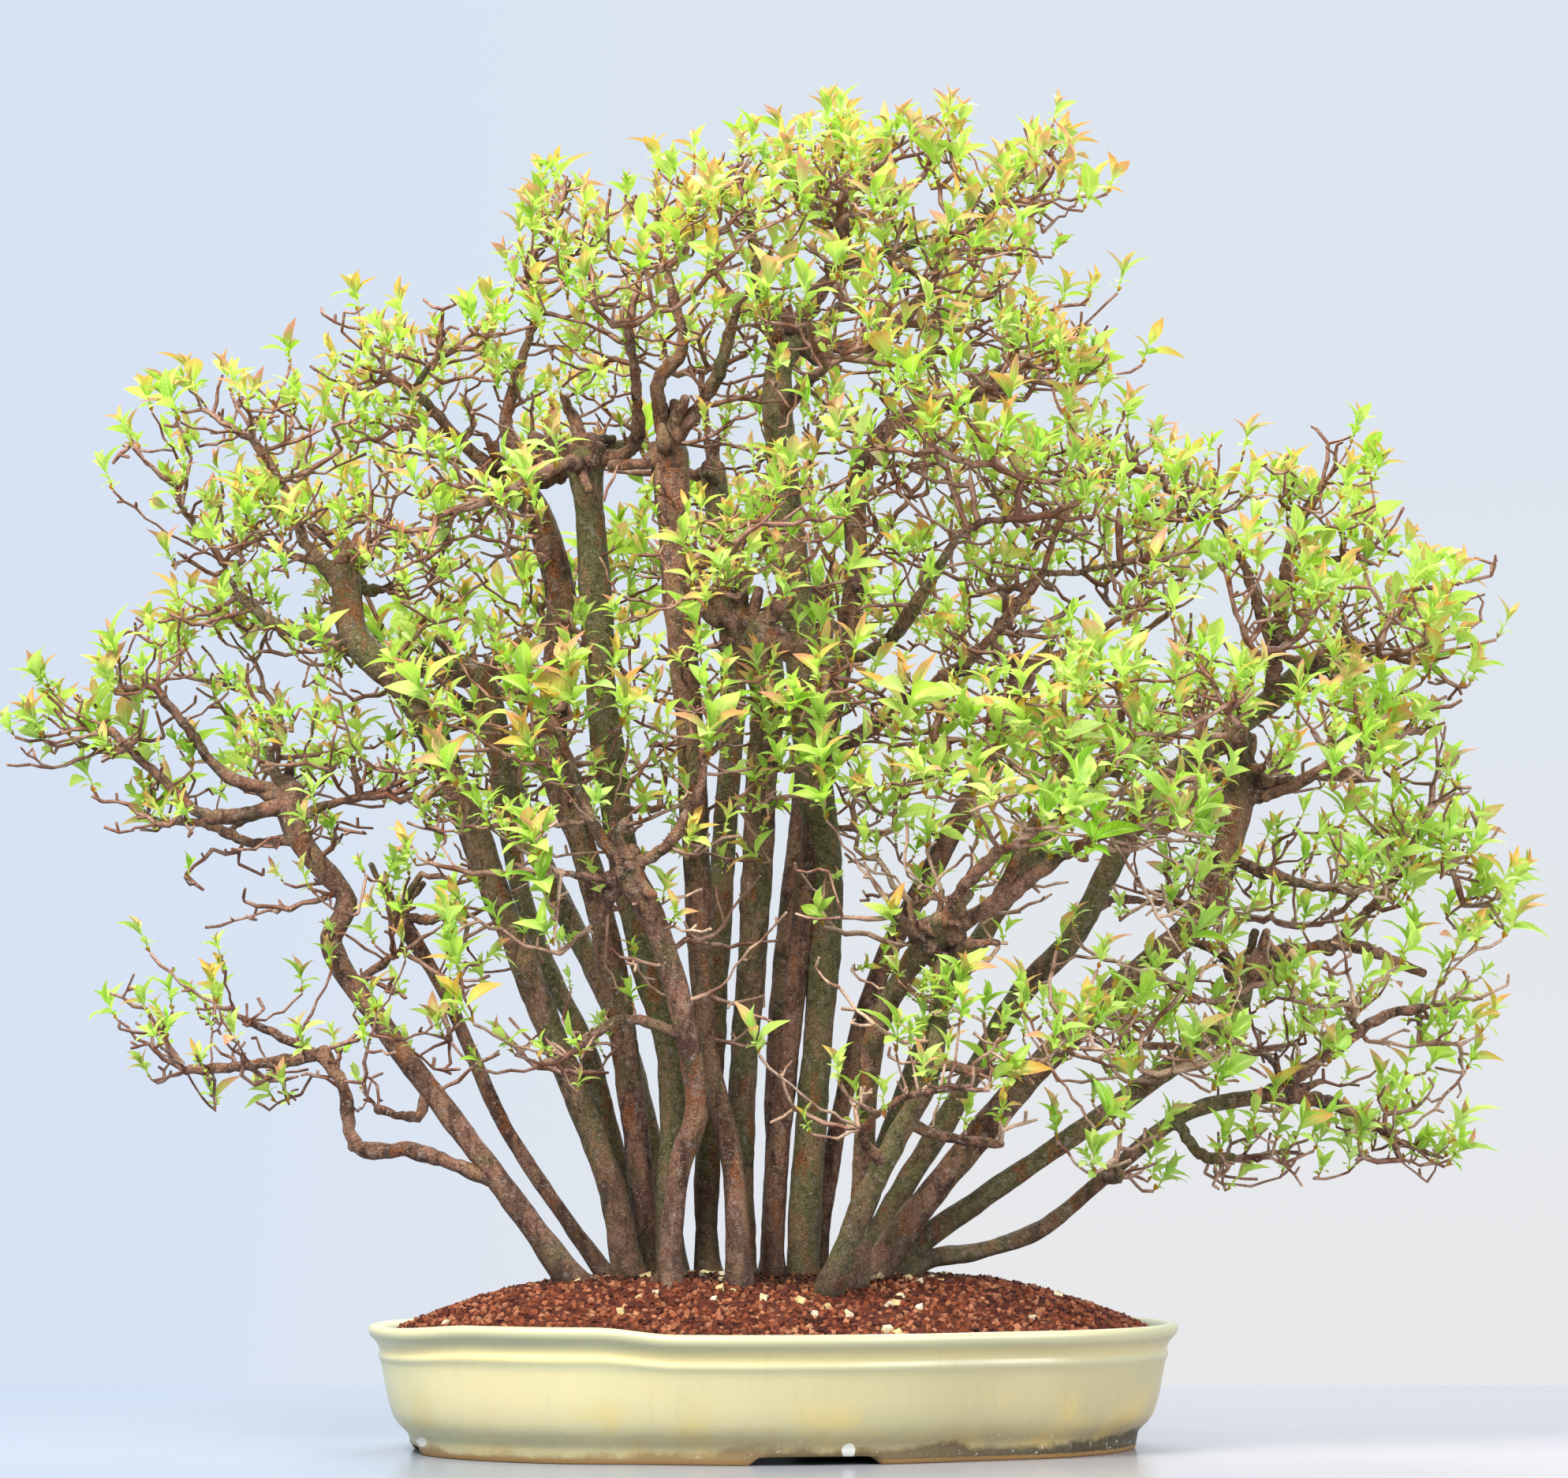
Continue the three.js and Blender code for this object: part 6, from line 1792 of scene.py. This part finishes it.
    def long_shoot(self, number: int, tufts: Rows, growth: Growth) -> None:
        """Grows one long shoot with its own tufts.

        Args:
            number: The shoot's number.
            tufts: Its tufts from the lowest up, each as x, depth, height and size.
            growth: Its region, which gets its twigs and blades.
        """
        draw = random.Random(self.seed * 3 + number)
        places = [place(*tuft[:3]) for tuft in tufts]
        near = self.seats_near([Clump(at, np.full(3, 30.0)) for at in places])
        seat = near[int(np.argmin(np.linalg.norm(near - places[0], axis=1)))]
        system = TwigSystem(draw, seat, unit(places[0] - seat), 2.2, near, 3)
        sizes = {system.grow_to(at): tuft[3] for at, tuft in zip(places, tufts)}
        system.tips.update(sizes)
        self.dress(system, growth, draw, sizes)

    def seats_near(self, clumps: Sequence[Clump]) -> Points:
        """The points on the upper wood that lie in or near any of the clumps."""
        share = np.min([np.max(np.abs(self.wood_seats - c.at) / c.half, axis=1) for c in clumps], axis=0)
        limit = max(1.25, float(np.sort(share)[3]))
        return self.wood_seats[share <= limit]

    def dress(self, system: TwigSystem, growth: Growth, draw: random.Random,
              sizes: dict[int, float] | None = None) -> None:
        """Collects a twig system's twigs, with its spurs and its tufts.

        Args:
            system: The twigs.
            growth: Its region, which gets its twigs and blades.
            draw: The number source.
            sizes: The sizes of the tufts whose size is known, by the number of their point.
        """
        sizes = sizes or {}
        radii = system.radii()
        for stem in system.stems(radii):
            growth.twigs.add(stem)
        middle = np.array([0.0, 0.0, self.heart])
        for i in range(system.first, len(system.at)):
            point, before = system.at[i], system.at[system.parent[i]]
            along = unit(point - before)
            out = unit(point - middle)
            if i in system.tips:
                axis = unit(along * 0.35 + UP * 0.9 + out * 0.3)
                far = float(np.linalg.norm((point - middle) * [1, 2.5, 1])) / self.heart
                size = sizes.get(i, draw.uniform(0.46, 0.86) + 0.4 * max(0.0, far - 0.55))
                self.tuft(point, axis, size, draw, growth)
            elif draw.random() < self.spur_share and radii[i] < 2.4:
                side = unit(np.cross(along, any_way(draw)))
                axis = unit(side * 0.9 + UP * 0.6 + out * 0.3)
                end = point + axis * draw.uniform(3.5, 8)
                growth.twigs.add(Stem(np.array([point, end]), np.array([1.15, 0.95])))
                if draw.random() < self.leafy_spurs and len(system.tips) > 8 and self.in_crown(end, 0.7):
                    self.tuft(end, unit(axis + UP), draw.uniform(0.4, 0.8), draw, growth)

    @staticmethod
    def carrying(growth: Growth, name: str) -> Thing:
        """Makes the object whose edges are the twigs and whose loose points seat the blades."""
        paths, leaves = growth.twigs, growth.leaves
        chain_points = np.vstack(paths.points)
        made = mesh_object(name, np.vstack([chain_points, np.array(leaves["at"])]), [], paths.edges)
        count, rest = len(chain_points), len(leaves["at"])
        radii = np.append(np.concatenate(paths.radii) * MM, np.zeros(rest))
        set_values(made.data, "stem_radius", radii)
        for key, kind in (("size", "FLOAT"), ("kind", "INT"), ("tint", "FLOAT"), ("flush", "FLOAT")):
            set_values(made.data, key, np.append(np.zeros(count), leaves[key]), kind)
        set_values(made.data, "turn", np.vstack([np.zeros((count, 3)), leaves["turn"]]), "FLOAT_VECTOR")
        return made

    def build(self, sprays: Sequence[Sequence[Clump]], wood: Wood, bark: Material,
              leaf: Material) -> list[Thing]:
        """Builds every spray.

        Args:
            sprays: The clumps of each spray.
            wood: The wood that carries them.
            bark: The twigs' material.
            leaf: The blades' material.

        Returns:
            The finished pieces, one for each region of the crown.
        """
        tree = self.tree()
        inputs = {"Twig Sides": self.twig_sides, "Blades": self.shapes(), "Twig Bark": bark, "Leaf": leaf}
        stems = wood.trunks + wood.branches + wood.boughs
        self.wood_points = np.vstack([s.smooth(12).points for s in stems])
        self.wood_seats = wood.seats()
        taken: list[Points] = []
        made = []
        first = 0
        for name, last in self.regions:
            growth = Growth()
            for i in range(first, last):
                self.spray(i + 1, sprays[i], wood.carriers[i], taken, growth)
            for number, zone in enumerate(THICKETS.get(name, [])):
                self.thicket(number, zone, growth)
            for number, tufts in enumerate(LONG_SHOOTS.get(name, [])):
                self.long_shoot(number, tufts, growth)
            piece = run_tree(self.carrying(growth, f"foliage_{name}"), tree, inputs)
            made.append(settle(piece, "foliage", *(f"spray_{i + 1:02d}" for i in range(first, last))))
            first = last
        return made


# The room

@dataclass
class Studio:
    """The table, the pale surroundings, the soft lamps and the camera, at the photograph's view."""

    distance: float = 3200
    eye_height: float = 215
    aim: tuple[float, float, float] = (6, 0, 472.7)
    lens: float = 109.6
    table_back: float = 760
    table_side: float = 3200
    sky_left: str = "#d7e3f4"
    sky_right: str = "#dde6f0"
    sky_low: str = "#e9e9ea"

    def table(self, top: Material) -> Thing:
        """Builds the table top, whose far edge is the horizon behind the pot."""
        wide, back = self.table_side, self.table_back
        corners = [place(x, y, 0) for x, y in ((-wide, -wide), (wide, -wide), (wide, back), (-wide, back))]
        points = np.vstack([corners, np.array(corners) - UP * 40])
        faces = [(0, 1, 2, 3), (7, 6, 5, 4), (0, 4, 5, 1), (1, 5, 6, 2), (2, 6, 7, 3), (3, 7, 4, 0)]
        made = mesh_object("table_top", points, faces)
        made.data.materials.append(top)
        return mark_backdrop(made)

    def surroundings(self) -> None:
        """Sets the pale sky that lights everything a little from all sides."""
        world = bpy.data.worlds.new("pale_room")
        world.use_nodes = True
        world.node_tree.nodes.clear()
        add = partial(add_node, world.node_tree)
        way = add("ShaderNodeTexCoord").outputs["Generated"]
        parts = add("ShaderNodeSeparateXYZ", way)
        middle = -math.sin(TREE_TURN)
        right = add(Kind.MIX, add(Kind.RANGE, parts.outputs[2], -0.05, 0.14), self.sky_low, self.sky_right)
        across = add(Kind.RANGE, parts.outputs[0], middle - 0.13, middle + 0.03)
        tone = add(Kind.MIX, across, self.sky_left, right)
        add("ShaderNodeOutputWorld", add("ShaderNodeBackground", {"Color": tone, "Strength": 1.0}))
        bpy.context.scene.world = world
        bpy.context.scene.view_settings.view_transform = "Standard"

    def lamp(self, name: str, x: float, depth: float, height: float, size: float, watts: float,
             colour: str) -> None:
        """Hangs one soft square lamp that points at the tree's middle."""
        data = bpy.data.lights.new(name, "AREA")
        data.size = size * MM
        data.energy = watts
        data.color = linear(colour)[:3]
        made = bpy.data.objects.new(name, data)
        made.location = Vector(place(x, depth, height) * MM)
        way = Vector(place(0, 0, 420) * MM) - made.location
        made.rotation_euler = way.to_track_quat("-Z", "Y").to_euler()
        bpy.context.scene.collection.objects.link(made)

    def camera(self) -> None:
        """Sets the camera."""
        data = bpy.data.cameras.new("view")
        data.lens = self.lens
        data.sensor_width = 36
        data.clip_end = 50
        made = bpy.data.objects.new("view", data)
        made.location = Vector(place(0, -self.distance, self.eye_height) * MM)
        way = Vector(place(*self.aim) * MM) - made.location
        made.rotation_euler = way.to_track_quat("-Z", "Y").to_euler()
        bpy.context.scene.collection.objects.link(made)
        bpy.context.scene.camera = made

    def build(self) -> None:
        """Builds the whole room."""
        self.table(PolishedTable("polished_table").make())
        self.surroundings()
        self.lamp("key", -1000, -1500, 2100, 1000, 146, "#fff6ea")
        self.lamp("fill", 1500, -1500, 1000, 1300, 50, "#f8f9ff")
        self.lamp("back", 300, 1500, 1900, 1200, 60, "#ffffff")
        self.camera()


def write_sizes(before: Any, after: Any) -> None:
    """Puts the box of the model and that of the dressed part into plain lists, which are not kept."""
    plain = {name: [[float(v) for v in corner] for corner in box]
             for name, box in (("cad", before), ("visual", after))}


def main() -> None:
    """Builds the whole scene."""
    logging.basicConfig(level=logging.INFO, format="%(message)s")
    model_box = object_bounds()
    Studio().build()
    pot = OvalPot()
    pot.build(AshGlaze("ash_glaze_on_stoneware").make(2, 62, 73))
    SoilBed(pot).build(FiredClayGrains("fired_clay_grains").make())
    sprays = [[Clump.listed(entry) for entry in spray] for spray in SPRAYS]
    wood = Wood()
    wood.grow(sprays)
    wood.build(QuinceBark("quince_bark").make())
    Foliage().build(sprays, wood, TwigBark("young_twig_bark").make(), YoungLeaf("young_leaf_blade").make())
    write_sizes(model_box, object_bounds())


if __name__ == "__main__":
    main()
